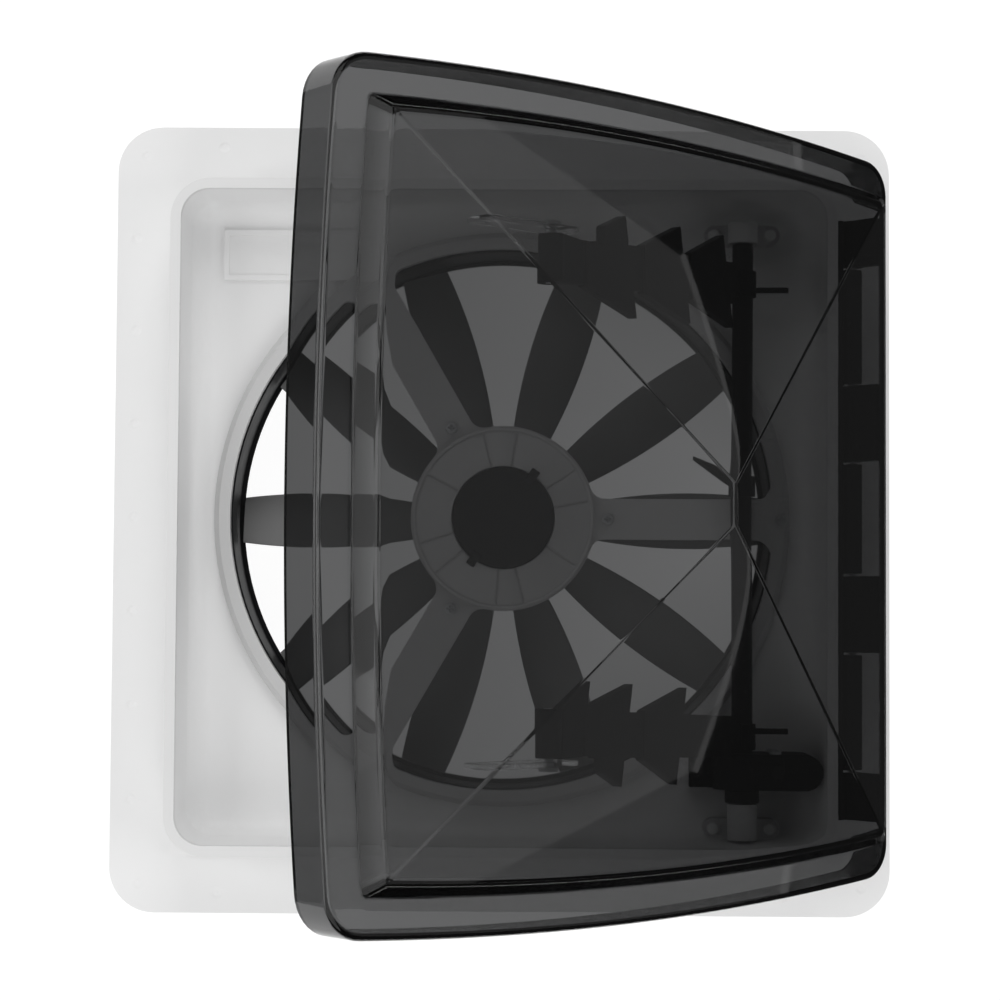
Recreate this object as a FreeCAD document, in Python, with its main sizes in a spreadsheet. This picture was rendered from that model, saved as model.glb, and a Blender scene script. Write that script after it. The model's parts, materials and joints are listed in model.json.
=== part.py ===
"""Camper roof vent fan with a smoked lid, modelled open as it stands in use.

Frame: millimetres, +Z up. The origin is the middle of the roof flange, on its underside, so z = 0 is the
roof. The lid is hinged along +X and lifts its -X edge. Lid and lift pieces are drawn in the closed pose and
then swung to the open one.
"""
import FreeCAD
import Part
import math
import os
import Sketcher

Vector = FreeCAD.Vector
Rotation = FreeCAD.Rotation

# Driving dimensions, in millimetres and degrees
DIMENSIONS = {
    # Roof base
    "curb_x": 361.0,
    "curb_y": 367.0,
    "curb_wall": 3.0,
    "curb_corner": 22.0,
    "rim_height": 40.0,
    "flange_margin": 34.75,
    "flange_thickness": 3.0,
    "flange_corner": 25.0,
    "plinth_height": 5.0,
    "plinth_margin_x": 0.5,
    "plinth_margin_y": 3.0,
    "plinth_corner": 4.0,
    "throat_inset": 6.0,
    "throat_wall": 3.0,
    "throat_corner": 15.0,
    "throat_depth": 60.0,
    "roof_screw_inset": 11.0,
    "roof_screw_corner_inset": 16.0,
    "roof_screw_pitch": 52.0,
    "roof_screw_radius": 2.1,
    "roof_dish_base": 1.2,
    "roof_dish_radius": 3.4,
    "roof_dish_depth": 0.4,
    "roof_hole_skin": 0.5,
    # Well tray
    "tray_gap": 0.3,
    "tray_lip": 3.0,
    "tray_wall": 2.4,
    "tray_lean": 4.0,
    "tray_corner": 18.0,
    "floor_thickness": 3.0,
    "floor_fillet": 13.0,
    "label_pad_x": 80.0,
    "label_pad_y": 28.0,
    "label_pad_height": 1.6,
    "label_pad_edge": 3.0,
    "label_pad_recess": 0.5,
    "label_pad_inset_x": 65.5,
    "label_pad_inset_y": 37.5,
    # Fan ring and motor bracket
    "ring_margin": 32.0,
    "ring_wall": 2.0,
    "ring_depth": 36.0,
    "ring_lip": 5.5,
    "ring_lip_thickness": 1.5,
    "ring_foot": 2.4,
    "bracket_band": 9.0,
    "bracket_edge": 1.0,
    "bracket_thickness": 6.0,
    "bracket_bevel": 3.0,
    "bracket_arm_width": 22.4,
    "bracket_fillet": 8.0,
    "bracket_hub_radius": 51.0,
    "ring_screw_inset": 4.9,
    "motor_screw_circle": 57.5,
    # Motor
    "motor_radius": 27.8,
    "motor_wall": 2.0,
    "motor_above": 8.5,
    "motor_below": 21.5,
    "motor_gap": 0.5,
    "motor_plate_inset": 3.0,
    "plate_ear_end": 5.0,
    "plate_ear_width": 12.0,
    "motor_plate_thickness": 3.0,
    "cap_thickness": 3.0,
    "cap_boss": 6.0,
    "ear_length": 4.0,
    "ear_width": 5.0,
    "ear_height": 1.5,
    "cover_radius": 50.0,
    "cover_height": 10.5,
    "cover_rim": 2.0,
    "cover_rim_height": 4.0,
    "seam_width": 0.8,
    "seam_depth": 0.7,
    "bush_radius": 8.0,
    "bush_length": 6.0,
    "armature_radius": 20.0,
    "armature_length": 18.0,
    "motor_shaft_radius": 3.0,
    # Impeller
    "fan_gap": 2.0,
    "hub_radius": 46.0,
    "hub_height": 16.0,
    "hub_wall": 2.5,
    "hub_boss_radius": 9.0,
    "tip_gap": 3.0,
    "blade_thickness": 2.4,
    "blade_pitch": 25.0,
    "blade_root_half": 10.5,
    "blade_middle_half": 17.0,
    "blade_tip_half": 14.3,
    "nut_radius": 6.0,
    "nut_height": 5.0,
    # Hinge
    "hinge_offset": 8.5,
    "hinge_drop": 6.5,
    "knuckle_radius": 5.0,
    "hinge_pin_radius": 2.0,
    "leaf_thickness": 3.0,
    "leaf_above": 5.0,
    "leaf_below": 16.0,
    "outer_knuckle_y": 149.0,
    "outer_knuckle_length": 25.0,
    "inner_knuckle_y": 51.5,
    "inner_knuckle_length": 41.0,
    "knuckle_gap": 1.5,
    "knuckle_web": 6.0,
    "hinge_screw_drop": 12.0,
    # Lid
    "lid_angle": 44.0,
    "lid_overhang_side": 6.6,
    "lid_overhang_free": 11.0,
    "lid_overhang_hinge": 5.0,
    "lid_bow_side": 8.9,
    "lid_bow_free": 9.3,
    "lid_corner_free": 22.0,
    "lid_corner_hinge": 18.0,
    "lid_skirt": 22.0,
    "lid_hinge_lip": 3.2,
    "lid_wall": 2.8,
    "lid_edge_round": 3.0,
    "lid_border": 17.5,
    "lid_border_hinge": 4.6,
    "lid_step": 10.0,
    "lid_step_lean": 4.5,
    "lid_step_lean_hinge": 10.8,
    "lid_panel_bow_side": 7.5,
    "lid_panel_bow_free": 7.0,
    "lid_rise": 41.0,
    "lid_ridge": 20.0,
    "lid_ridge_flat": 1.0,
    "lid_ridge_shift": 2.8,
    # Lift shaft and arms
    "shaft_reach": 58.0,
    "shaft_height": 14.0,
    "shaft_radius": 5.7,
    "journal_radius": 4.0,
    "shaft_upper_end": 32.5,
    "shaft_lower_end": 29.3,
    "upper_arm_inset": 22.0,
    "upper_arm_toe": 19.0,
    "lower_arm_inset": 35.7,
    "lower_arm_toe": 13.0,
    "lift_neck_width": 14.0,
    "lift_neck_reach": 16.0,
    "lift_arm_width": 22.0,
    "lift_arm_below": 4.0,
    "lift_arm_above": 2.0,
    "lift_boss_radius": 7.4,
    "lift_eye_radius": 6.0,
    "lift_eye_drop": 3.0,
    "tier_half_width": 24.5,
    "tier_neck_half": 12.0,
    "tier_below": 1.0,
    "tier_above": 3.5,
    "tier_slant": 11.0,
    "slide_pin_inset": 116.65,
    "slide_pin_radius": 2.4,
    "slide_pin_head": 4.5,
    "slide_pin_head_length": 2.0,
    "rail_level": 33.2,
    "rail_gap": 1.0,
    "rail_thickness": 2.6,
    "rail_below": 6.4,
    "rail_end": 10.0,
    "rail_slot_clearance": 2.0,
    "lock_pin_radius": 1.6,
    "lock_pin_tail": 25.0,
    "lock_pin_inset": 3.0,
    "finger_y": 18.0,
    "finger_width": 11.0,
    "finger_reach": 27.0,
    "finger_height": 4.0,
    "finger_lean": 15.5,
    "finger_point": 2.0,
    # Shaft brackets
    "bracket_boss_spread": 30.8,
    "bracket_boss_radius": 5.5,
    "bracket_foot_height": 9.0,
    "bracket_column": 15.0,
    "bracket_depth": 11.0,
    "bearing_radius": 8.0,
    "bearing_gap": 0.6,
    "lower_bearing_length": 19.5,
    # Gear case
    "gear_gap": 1.7,
    "gear_case_width": 19.5,
    "gear_case_wall": 3.0,
    "gear_case_radius": 16.0,
    "gear_cover_thickness": 2.0,
    "wheel_radius": 12.0,
    "wheel_width": 10.0,
    "worm_radius": 5.5,
    "worm_gap": 0.5,
    "worm_length": 20.0,
    "worm_groove": 0.9,
    "case_end_reach": 24.5,
    "case_rise": 14.0,
    "case_foot_reach": 28.0,
    "case_foot_height": 6.0,
    "gear_screw_reach": 17.0,
    "collar_radius": 9.4,
    # Crank
    "spindle_radius": 3.5,
    "crank_bush_radius": 6.0,
    "crank_bush_lip": 2.5,
    "knob_radius": 15.0,
    "knob_height": 14.0,
    "knob_clearance": 2.0,
    "knob_flute_radius": 3.0,
    # Fits and screws
    "running_fit": 0.05,
    "screw_radius": 1.5,
    "screw_head_radius": 3.2,
    "screw_head_height": 1.8,
}

# Counts, and angles read straight off the object
ROOF_SCREWS_PER_HALF_SIDE = 3
BLADE_COUNT = 10
BRACKET_ARMS = 3
TOOTH_COUNT = 24
WORM_GROOVES = 6
KNOB_FLUTES = 8
SEAM_ANGLES = (11.6, 33.7, 80.5, 102.9, 150.0, 197.3, 219.5, 265.7, 284.4, 327.0)
EAR_ANGLES = (55.0, 235.0)

# Where each arm's tiers start and how long they are, as shares of the arm's length
UPPER_TIERS = ((0.13, 0.22), (0.386, 0.22), (0.68, 0.22))
LOWER_TIERS = ((0.40, 0.20), (0.69, 0.20), (0.898, 0.095))

doc = FreeCAD.newDocument("RoofVentFan")
nodes = {}


class Size:
    """A dimension that knows its number and the expression that it is bound with."""

    def __init__(self, value, text):
        self.value = value
        self.text = text

    def _joined(self, sign, other, value):
        return Size(value, f"({self.text} {sign} {text_of(other)})")

    def __add__(self, other):
        return self._joined("+", other, self.value + number(other))

    def __sub__(self, other):
        return self._joined("-", other, self.value - number(other))

    def __mul__(self, other):
        return self._joined("*", other, self.value * number(other))

    def __truediv__(self, other):
        return self._joined("/", other, self.value / number(other))

    def __neg__(self):
        return Size(-self.value, f"(0 - {self.text})")

    def __radd__(self, other):
        return self + other

    def __rmul__(self, other):
        return self * other

    def __rsub__(self, other):
        return (-self) + other


class Sizes:
    """The spreadsheet of driving dimensions, read by name."""

    def __init__(self, dimensions):
        self.sheet = doc.addObject("Spreadsheet::Sheet", "Sizes")
        for row, (alias, value) in enumerate(dimensions.items(), start=1):
            self.sheet.set(f"A{row}", alias)
            self.sheet.set(f"B{row}", str(value))
            self.sheet.setAlias(f"B{row}", alias)
        doc.recompute()

    def __getattr__(self, alias):
        return Size(float(self.sheet.get(alias)), f"Sizes.{alias}")


def smaller(first, second):
    """The smaller of two sizes."""
    return Size(min(first.value, second.value), f"min({first.text}; {second.text})")


def number(size):
    """The plain number of a size or of a number."""
    return size.value if isinstance(size, Size) else float(size)


def text_of(size):
    """The expression of a size or of a number."""
    return size.text if isinstance(size, Size) else repr(float(size))


def bind(item, **sizes):
    """Sets properties and ties those given as sizes to the sheet."""
    for name, size in sizes.items():
        setattr(item, name, number(size))
        if isinstance(size, Size):
            item.setExpression(name, size.text)


# Turns that lay the local Z axis of a primitive along another axis
ALONG = {
    "x": Rotation(Vector(0, 1, 0), 90),
    "y": Rotation(Vector(1, 0, 0), -90),
    "z": Rotation(),
}


def place(item, at, along="z"):
    """Puts an item at a point, each coordinate tied to the sheet, with its Z axis along the named axis."""
    item.Placement = FreeCAD.Placement(Vector(*(number(value) for value in at)), ALONG[along])
    for letter, value in zip("xyz", at):
        if isinstance(value, Size):
            item.setExpression(f"Placement.Base.{letter}", value.text)


def cylinder(radius, height, at, along="z"):
    """A cylinder that starts at a point and runs along an axis."""
    item = doc.addObject("Part::Cylinder", "Round")
    bind(item, Radius=radius, Height=height)
    place(item, at, along)
    return item


def box(low, high):
    """A box between two corners."""
    item = doc.addObject("Part::Box", "Block")
    bind(item, Length=high[0] - low[0], Width=high[1] - low[1], Height=high[2] - low[2])
    place(item, low)
    return item


def fuse(*items):
    """One solid of several that meet."""
    item = doc.addObject("Part::MultiFuse", "Joined")
    item.Shapes = list(items)
    item.Refine = True
    return item


def cut(base, *tools):
    """A base with the tools taken out of it."""
    item = doc.addObject("Part::Cut", "Cut")
    item.Base = base
    item.Tool = tools[0] if len(tools) == 1 else fuse(*tools)
    item.Refine = True
    return item


def common(first, second):
    """What two shapes share."""
    item = doc.addObject("Part::Common", "Shared")
    item.Base = first
    item.Tool = second
    return item


def group(items):
    """Separate solids kept as one node."""
    item = doc.addObject("Part::Compound", "Group")
    item.Links = list(items)
    return item


def node(label, item):
    """Registers a finished sub-part under its own name."""
    item.Label = label
    nodes[label] = item
    return item


def new_body():
    """An empty body for sketched features."""
    return doc.addObject("PartDesign::Body", "Body")


def origin_feature(body, role):
    """A plane or axis of a body's own origin."""
    return next(feature for feature in body.Origin.OriginFeatures if feature.Role == role)


def new_sketch(body, level=0.0, role="XY_Plane"):
    """A sketch on one of the body's planes, lifted along the plane's normal."""
    sketch = body.newObject("Sketcher::SketchObject", "Profile")
    sketch.AttachmentSupport = [(origin_feature(body, role), "")]
    sketch.MapMode = "FlatFace"
    sketch.AttachmentOffset = FreeCAD.Placement(Vector(0, 0, number(level)), Rotation())
    if isinstance(level, Size):
        sketch.setExpression("AttachmentOffset.Base.z", level.text)
    return sketch


def hold(sketch, kind, size, *where):
    """Adds a measured constraint and ties it to the sheet."""
    index = sketch.addConstraint(Sketcher.Constraint(kind, *where, number(size)))
    if isinstance(size, Size):
        sketch.setExpression(f"Constraints[{index}]", size.text)


def hold_point(sketch, geometry, end, across, up):
    """Holds one end of a sketched line at two signed distances from the sketch origin."""
    for kind, axis, size in (("DistanceX", -2, across), ("DistanceY", -1, up)):
        if abs(number(size)) < 1e-9:
            sketch.addConstraint(Sketcher.Constraint("PointOnObject", geometry, end, axis))
        else:
            hold(sketch, kind, size, geometry, end)


def draw_outline(sketch, points):
    """Draws a closed outline of straight lines and holds each corner."""
    corners = [Vector(number(across), number(up), 0) for across, up in points]
    lines = []
    for start, end in zip(corners, corners[1:] + corners[:1]):
        lines.append(sketch.addGeometry(Part.LineSegment(start, end)))
    for index, line in enumerate(lines):
        sketch.addConstraint(Sketcher.Constraint("Coincident", lines[index - 1], 2, line, 1))
    for line, (across, up) in zip(lines, points):
        hold_point(sketch, line, 1, across, up)


def draw_circle(sketch, radius):
    """Draws a circle about the sketch origin."""
    circle = sketch.addGeometry(Part.Circle(Vector(0, 0, 0), Vector(0, 0, 1), number(radius)))
    sketch.addConstraint(Sketcher.Constraint("Coincident", circle, 3, -1, 1))
    hold(sketch, "Radius", radius, circle)


def draw_rounded_rectangle(sketch, half_x, half_y, radius):
    """Draws a rectangle about the sketch origin whose four corners are rounded alike."""
    x, y, r = number(half_x), number(half_y), number(radius)
    ends = [
        ((r - x, -y), (x - r, -y)),
        ((x, r - y), (x, y - r)),
        ((x - r, y), (r - x, y)),
        ((-x, y - r), (-x, r - y)),
    ]
    lines = [sketch.addGeometry(Part.LineSegment(Vector(*a, 0), Vector(*b, 0))) for a, b in ends]
    centres = [(x - r, r - y), (x - r, y - r), (r - x, y - r), (r - x, r - y)]
    arcs = []
    for quarter, centre in enumerate(centres):
        start = math.pi * (1.5 + 0.5 * quarter)
        circle = Part.Circle(Vector(*centre, 0), Vector(0, 0, 1), r)
        arcs.append(sketch.addGeometry(Part.ArcOfCircle(circle, start, start + math.pi / 2)))
    for index in range(4):
        sketch.addConstraint(Sketcher.Constraint("Tangent", lines[index], 2, arcs[index], 1))
        sketch.addConstraint(Sketcher.Constraint("Tangent", arcs[index], 2, lines[(index + 1) % 4], 1))
    for arc in arcs[1:]:
        sketch.addConstraint(Sketcher.Constraint("Equal", arcs[0], arc))
    hold(sketch, "Radius", radius, arcs[0])
    hold(sketch, "DistanceY", -half_y, lines[0], 1)
    hold(sketch, "DistanceX", half_x, lines[1], 1)
    hold(sketch, "DistanceY", half_y, lines[2], 1)
    hold(sketch, "DistanceX", -half_x, lines[3], 1)


def pad(body, sketch, length, down=False):
    """Raises a sketch into the body."""
    feature = body.newObject("PartDesign::Pad", "Pad")
    feature.Profile = sketch
    feature.Reversed = down
    bind(feature, Length=length)
    return feature


def pocket(body, sketch, depth, up=False):
    """Cuts a sketch out of the body, downwards unless told otherwise."""
    feature = body.newObject("PartDesign::Pocket", "Pocket")
    feature.Profile = sketch
    feature.Reversed = up
    bind(feature, Length=depth)
    return feature


def polar_pattern(body, feature, count):
    """Repeats a feature round the body's Z axis."""
    pattern = body.newObject("PartDesign::PolarPattern", "Pattern")
    pattern.Originals = [feature]
    pattern.Axis = (origin_feature(body, "Z_Axis"), [""])
    pattern.Angle = 360
    pattern.Occurrences = count
    body.Tip = pattern
    return pattern


def edge_names(shape, test):
    """Names of the edges that pass a test."""
    return [f"Edge{index}" for index, edge in enumerate(shape.Edges, start=1) if test(edge)]


def dress(body, kind, test, size, name):
    """Rounds or bevels the edges of a body's last feature that pass a test."""
    doc.recompute()
    last = body.Tip
    feature = body.newObject(kind, "Edge")
    feature.Base = (last, edge_names(last.Shape, test))
    bind(feature, **{name: size})
    body.Tip = feature
    return feature


def turned(points, at=(0.0, 0.0, 0.0)):
    """A body turned about its Z axis from an outline of radius and height."""
    body = new_body()
    sketch = new_sketch(body, role="XZ_Plane")
    draw_outline(sketch, points)
    feature = body.newObject("PartDesign::Revolution", "Turned")
    feature.Profile = sketch
    feature.ReferenceAxis = (sketch, ["V_Axis"])
    feature.Angle = 360
    place(body, at)
    return body


def polar(radius, angle):
    """A point at a radius and an angle in degrees; the radius stays tied to the sheet."""
    return radius * math.cos(math.radians(angle)), radius * math.sin(math.radians(angle))


def screw(at, length, along="z"):
    """A round-headed screw whose head sits on the given point and whose shank runs back along the axis."""
    head = cylinder(S.screw_head_radius, S.screw_head_height, at, along)
    back = {"x": (-length, 0, 0), "y": (0, -length, 0), "z": (0, 0, -length)}[along]
    shank = cylinder(S.screw_radius, length, tuple(a + b for a, b in zip(at, back)), along)
    return fuse(head, shank)


def screw_hole(at, length, along="z"):
    """The hole that such a screw passes, from the given point back along the axis."""
    back = {"x": (-length, 0, 0), "y": (0, -length, 0), "z": (0, 0, -length)}[along]
    return cylinder(S.screw_radius, length, tuple(a + b for a, b in zip(at, back)), along)


def swing(item, pivot_x, pivot_z, angle):
    """Turns a finished item about an axis along Y."""
    pivot = Vector(number(pivot_x), 0, number(pivot_z))
    item.Placement = FreeCAD.Placement(Vector(), Rotation(Vector(0, 1, 0), angle), pivot) * item.Placement
    return item


S = Sizes(DIMENSIONS)

# Levels and places that several pieces share
HALF_CURB_X = S.curb_x / 2
HALF_CURB_Y = S.curb_y / 2
FLOOR_TOP = S.flange_thickness + S.floor_thickness
FOOT_TOP = FLOOR_TOP + S.bracket_foot_height
BRACKET_BOTTOM = FLOOR_TOP + S.ring_lip_thickness
BRACKET_TOP = BRACKET_BOTTOM + S.bracket_thickness
RING_BOTTOM = FLOOR_TOP - S.ring_depth
RING_RADIUS = smaller(HALF_CURB_X, HALF_CURB_Y) - S.ring_margin
RING_OUTER = RING_RADIUS + S.ring_wall
BAND_INNER = RING_RADIUS + S.bracket_edge
BAND_OUTER = BAND_INNER + S.bracket_band
RING_SCREW_CIRCLE = BAND_OUTER - S.ring_screw_inset
MOTOR_TOP = BRACKET_TOP + S.motor_above
MOTOR_BOTTOM = BRACKET_BOTTOM - S.motor_below
HUB_TOP = MOTOR_BOTTOM - S.fan_gap
HUB_BOTTOM = HUB_TOP - S.hub_height
HINGE_X = HALF_CURB_X + S.hinge_offset
LID_FAR = HINGE_X + HALF_CURB_X + S.lid_overhang_free
HINGE_Z = S.rim_height - S.hinge_drop
SHAFT_X = HINGE_X - S.shaft_reach
SHAFT_Z = FLOOR_TOP + S.shaft_height
SHAFT_UPPER_Y = HALF_CURB_Y - S.shaft_upper_end
SHAFT_LOWER_Y = S.shaft_lower_end - HALF_CURB_Y
ROOT_Y = {1: SHAFT_UPPER_Y - S.upper_arm_inset, -1: -SHAFT_LOWER_Y - S.lower_arm_inset}
TIP_Y = {1: ROOT_Y[1] - S.upper_arm_toe, -1: ROOT_Y[-1] - S.lower_arm_toe}
GEAR_CASE_INNER_Y = -(ROOT_Y[-1] + S.lift_neck_width / 2 + S.gear_gap)
GEAR_CASE_OUTER_Y = GEAR_CASE_INNER_Y - S.gear_case_width
GEAR_Y = GEAR_CASE_INNER_Y - S.gear_case_width / 2
CRANK_X = SHAFT_X + S.wheel_radius + S.worm_gap + S.worm_radius
KNOB_BOTTOM = S.knob_clearance - S.throat_depth
KNOB_TOP = KNOB_BOTTOM + S.knob_height
ARM_STEP = 360 / BRACKET_ARMS


def roof_screw_points():
    """Places of the roof screws: rows along the four sides, and one in each corner."""
    row_x = HALF_CURB_X + S.flange_margin - S.roof_screw_inset
    row_y = HALF_CURB_Y + S.flange_margin - S.roof_screw_inset
    corner_x = HALF_CURB_X + S.flange_margin - S.roof_screw_corner_inset
    corner_y = HALF_CURB_Y + S.flange_margin - S.roof_screw_corner_inset
    points = []
    for side in (-1, 1):
        for step in range(-ROOF_SCREWS_PER_HALF_SIDE, ROOF_SCREWS_PER_HALF_SIDE + 1):
            points.append((side * row_x, step * S.roof_screw_pitch))
            points.append((step * S.roof_screw_pitch, side * row_y))
        for other in (-1, 1):
            points.append((side * corner_x, other * corner_y))
    return points


def make_roof_base():
    """Flange, plinth, curb wall and throat in one piece; each screw hole is closed by a skin under a dish."""
    body = new_body()
    layers = [
        (HALF_CURB_X + S.flange_margin, HALF_CURB_Y + S.flange_margin, S.flange_corner, 0.0, S.flange_thickness),
        (HALF_CURB_X + S.plinth_margin_x, HALF_CURB_Y + S.plinth_margin_y, S.plinth_corner,
         S.flange_thickness, S.plinth_height),
        (HALF_CURB_X, HALF_CURB_Y, S.curb_corner, S.flange_thickness,
         S.rim_height - S.tray_lip - S.flange_thickness),
        (HALF_CURB_X - S.throat_inset, HALF_CURB_Y - S.throat_inset, S.throat_corner,
         -S.throat_depth, S.throat_depth),
    ]
    for half_x, half_y, corner, level, height in layers:
        sketch = new_sketch(body, level)
        draw_rounded_rectangle(sketch, half_x, half_y, corner)
        pad(body, sketch, height)
    curb_inside = new_sketch(body, S.flange_thickness)
    draw_rounded_rectangle(curb_inside, HALF_CURB_X - S.curb_wall, HALF_CURB_Y - S.curb_wall,
                           S.curb_corner - S.curb_wall)
    pocket(body, curb_inside, S.rim_height, up=True)
    throat_inside = new_sketch(body, S.flange_thickness)
    throat_edge = S.throat_inset + S.throat_wall
    draw_rounded_rectangle(throat_inside, HALF_CURB_X - throat_edge, HALF_CURB_Y - throat_edge,
                           S.throat_corner - S.throat_wall)
    pocket(body, throat_inside, S.throat_depth + S.flange_thickness)
    holes = []
    hole_depth = S.flange_thickness - S.roof_dish_depth - S.roof_hole_skin
    for x, y in roof_screw_points():
        holes.append(cylinder(S.roof_screw_radius, hole_depth, (x, y, 0.0)))
        dish = doc.addObject("Part::Cone", "Dish")
        bind(dish, Radius1=S.roof_dish_base, Radius2=S.roof_dish_radius, Height=S.roof_dish_depth)
        place(dish, (x, y, S.flange_thickness - S.roof_dish_depth))
        holes.append(dish)
    return node("roof_base", cut(body, *holes))


def make_well_tray():
    """White tray inside the curb: a lip over the curb, leaning walls, the fan opening and a bare pad."""
    body = new_body()
    lip = new_sketch(body, S.rim_height - S.tray_lip)
    draw_rounded_rectangle(lip, HALF_CURB_X, HALF_CURB_Y, S.curb_corner)
    pad(body, lip, S.tray_lip)
    outer = S.curb_wall + S.tray_gap
    inner = outer + S.tray_wall
    lofts = [
        ("PartDesign::AdditiveLoft", outer, S.flange_thickness, S.tray_corner),
        ("PartDesign::SubtractiveLoft", inner, FLOOR_TOP, S.tray_corner - S.tray_wall),
    ]
    for kind, inset, low, corner in lofts:
        top = new_sketch(body, S.rim_height)
        draw_rounded_rectangle(top, HALF_CURB_X - inset, HALF_CURB_Y - inset, corner)
        bottom = new_sketch(body, low)
        foot = inset + S.tray_lean
        draw_rounded_rectangle(bottom, HALF_CURB_X - foot, HALF_CURB_Y - foot, corner)
        loft = body.newObject(kind, "Loft")
        loft.Profile = top
        loft.Sections = [bottom]
        loft.Ruled = True

    def at_foot(edge):
        box_of_edge = edge.BoundBox
        level = abs(box_of_edge.ZMin - number(FLOOR_TOP)) + abs(box_of_edge.ZMax - number(FLOOR_TOP))
        return level < 0.01

    dress(body, "PartDesign::Fillet", at_foot, S.floor_fillet, "Radius")
    opening = new_sketch(body, FLOOR_TOP)
    draw_circle(opening, RING_OUTER + S.tray_gap)
    pocket(body, opening, S.floor_thickness)
    pad_x = S.label_pad_inset_x - HALF_CURB_X
    pad_y = HALF_CURB_Y - S.label_pad_inset_y
    low = (pad_x - S.label_pad_x / 2, pad_y - S.label_pad_y / 2, S.flange_thickness)
    high = (pad_x + S.label_pad_x / 2, pad_y + S.label_pad_y / 2, FLOOR_TOP + S.label_pad_height)
    recess = box((low[0] + S.label_pad_edge, low[1] + S.label_pad_edge, high[2] - S.label_pad_recess),
                 (high[0] - S.label_pad_edge, high[1] - S.label_pad_edge, high[2]))
    holes = [cylinder(S.crank_bush_radius, S.floor_thickness, (CRANK_X, GEAR_Y, S.flange_thickness))]
    for x, y in ring_screw_points():
        holes.append(screw_hole((x, y, FLOOR_TOP), S.floor_thickness))
    for x, y in shaft_bracket_screw_points():
        holes.append(screw_hole((x, y, FOOT_TOP), FOOT_TOP - S.flange_thickness))
    bush_seat = S.crank_bush_radius + S.crank_bush_lip + S.tray_gap
    holes.append(cylinder(bush_seat, S.floor_fillet, (CRANK_X, GEAR_Y, FLOOR_TOP)))
    ring_space = cylinder(BAND_OUTER + S.tray_gap, S.rim_height, (0.0, 0.0, 0.0))
    return node("well_tray", cut(fuse(body, cut(box(low, high), ring_space, recess)), *holes))


def ring_screw_points():
    """Places of the screws that hold the motor bracket's ring, one at the end of each arm."""
    return [polar(RING_SCREW_CIRCLE, ARM_STEP * arm) for arm in range(BRACKET_ARMS)]


def motor_screw_points():
    """Places of the screws that hold the motor plate, one on each arm beside the hub."""
    return [polar(S.motor_screw_circle, ARM_STEP * arm) for arm in range(BRACKET_ARMS)]


def make_fan_ring():
    """Black cylinder that lines the fan opening, hangs from the tray floor by a lip and turns in at its foot."""
    foot_radius = RING_RADIUS - S.ring_foot
    foot_top = RING_BOTTOM + S.ring_lip_thickness
    body = turned([
        (RING_RADIUS, foot_top),
        (foot_radius, foot_top),
        (foot_radius, RING_BOTTOM),
        (RING_OUTER, RING_BOTTOM),
        (RING_OUTER, FLOOR_TOP),
        (RING_OUTER + S.ring_lip, FLOOR_TOP),
        (RING_OUTER + S.ring_lip, BRACKET_BOTTOM),
        (RING_RADIUS, BRACKET_BOTTOM),
    ])
    holes = [screw_hole((x, y, BRACKET_BOTTOM), S.ring_lip_thickness) for x, y in ring_screw_points()]
    return node("fan_ring", cut(body, *holes))


def make_motor_bracket():
    """Hub, three arms and outer band that carry the motor over the fan opening."""
    body = new_body()
    hub = new_sketch(body, BRACKET_BOTTOM)
    draw_circle(hub, S.bracket_hub_radius)
    draw_circle(hub, S.motor_radius + S.motor_gap)
    pad(body, hub, S.bracket_thickness)
    arm = new_sketch(body, BRACKET_BOTTOM)
    half = S.bracket_arm_width / 2
    root = S.bracket_hub_radius - S.bracket_fillet
    end = BAND_INNER + S.bracket_band / 2
    draw_outline(arm, [(root, -half), (end, -half), (end, half), (root, half)])
    polar_pattern(body, pad(body, arm, S.bracket_thickness), BRACKET_ARMS)
    band = new_sketch(body, BRACKET_BOTTOM)
    draw_circle(band, BAND_OUTER)
    draw_circle(band, BAND_INNER)
    body.Tip = pad(body, band, S.bracket_thickness)

    def inner_corner(edge):
        upright = abs(edge.BoundBox.ZLength - number(S.bracket_thickness)) < 0.01
        point = edge.Vertexes[0].Point
        radius = math.hypot(point.x, point.y)
        near = min(abs(radius - number(S.bracket_hub_radius)), abs(radius - number(BAND_INNER)))
        return upright and len(edge.Vertexes) == 2 and near < 0.01

    def outer_rim(edge):
        flat = edge.BoundBox.ZLength < 0.01 and abs(edge.BoundBox.ZMax - number(BRACKET_TOP)) < 0.01
        return flat and abs(edge.BoundBox.XMax - number(BAND_OUTER)) < 0.01

    dress(body, "PartDesign::Fillet", inner_corner, S.bracket_fillet, "Radius")
    dress(body, "PartDesign::Chamfer", outer_rim, S.bracket_bevel, "Size")
    points = ring_screw_points() + motor_screw_points()
    holes = [screw_hole((x, y, BRACKET_TOP), S.bracket_thickness) for x, y in points]
    return node("motor_bracket", cut(body, *holes))


def make_bracket_fasteners():
    """Screws of the band and of the motor plate."""
    ring_length = S.bracket_thickness + S.ring_lip_thickness + S.floor_thickness
    motor_length = S.bracket_thickness + S.motor_plate_thickness
    node("ring_screws", group([screw((x, y, BRACKET_TOP), ring_length) for x, y in ring_screw_points()]))
    node("motor_screws", group([screw((x, y, BRACKET_TOP), motor_length) for x, y in motor_screw_points()]))


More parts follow.
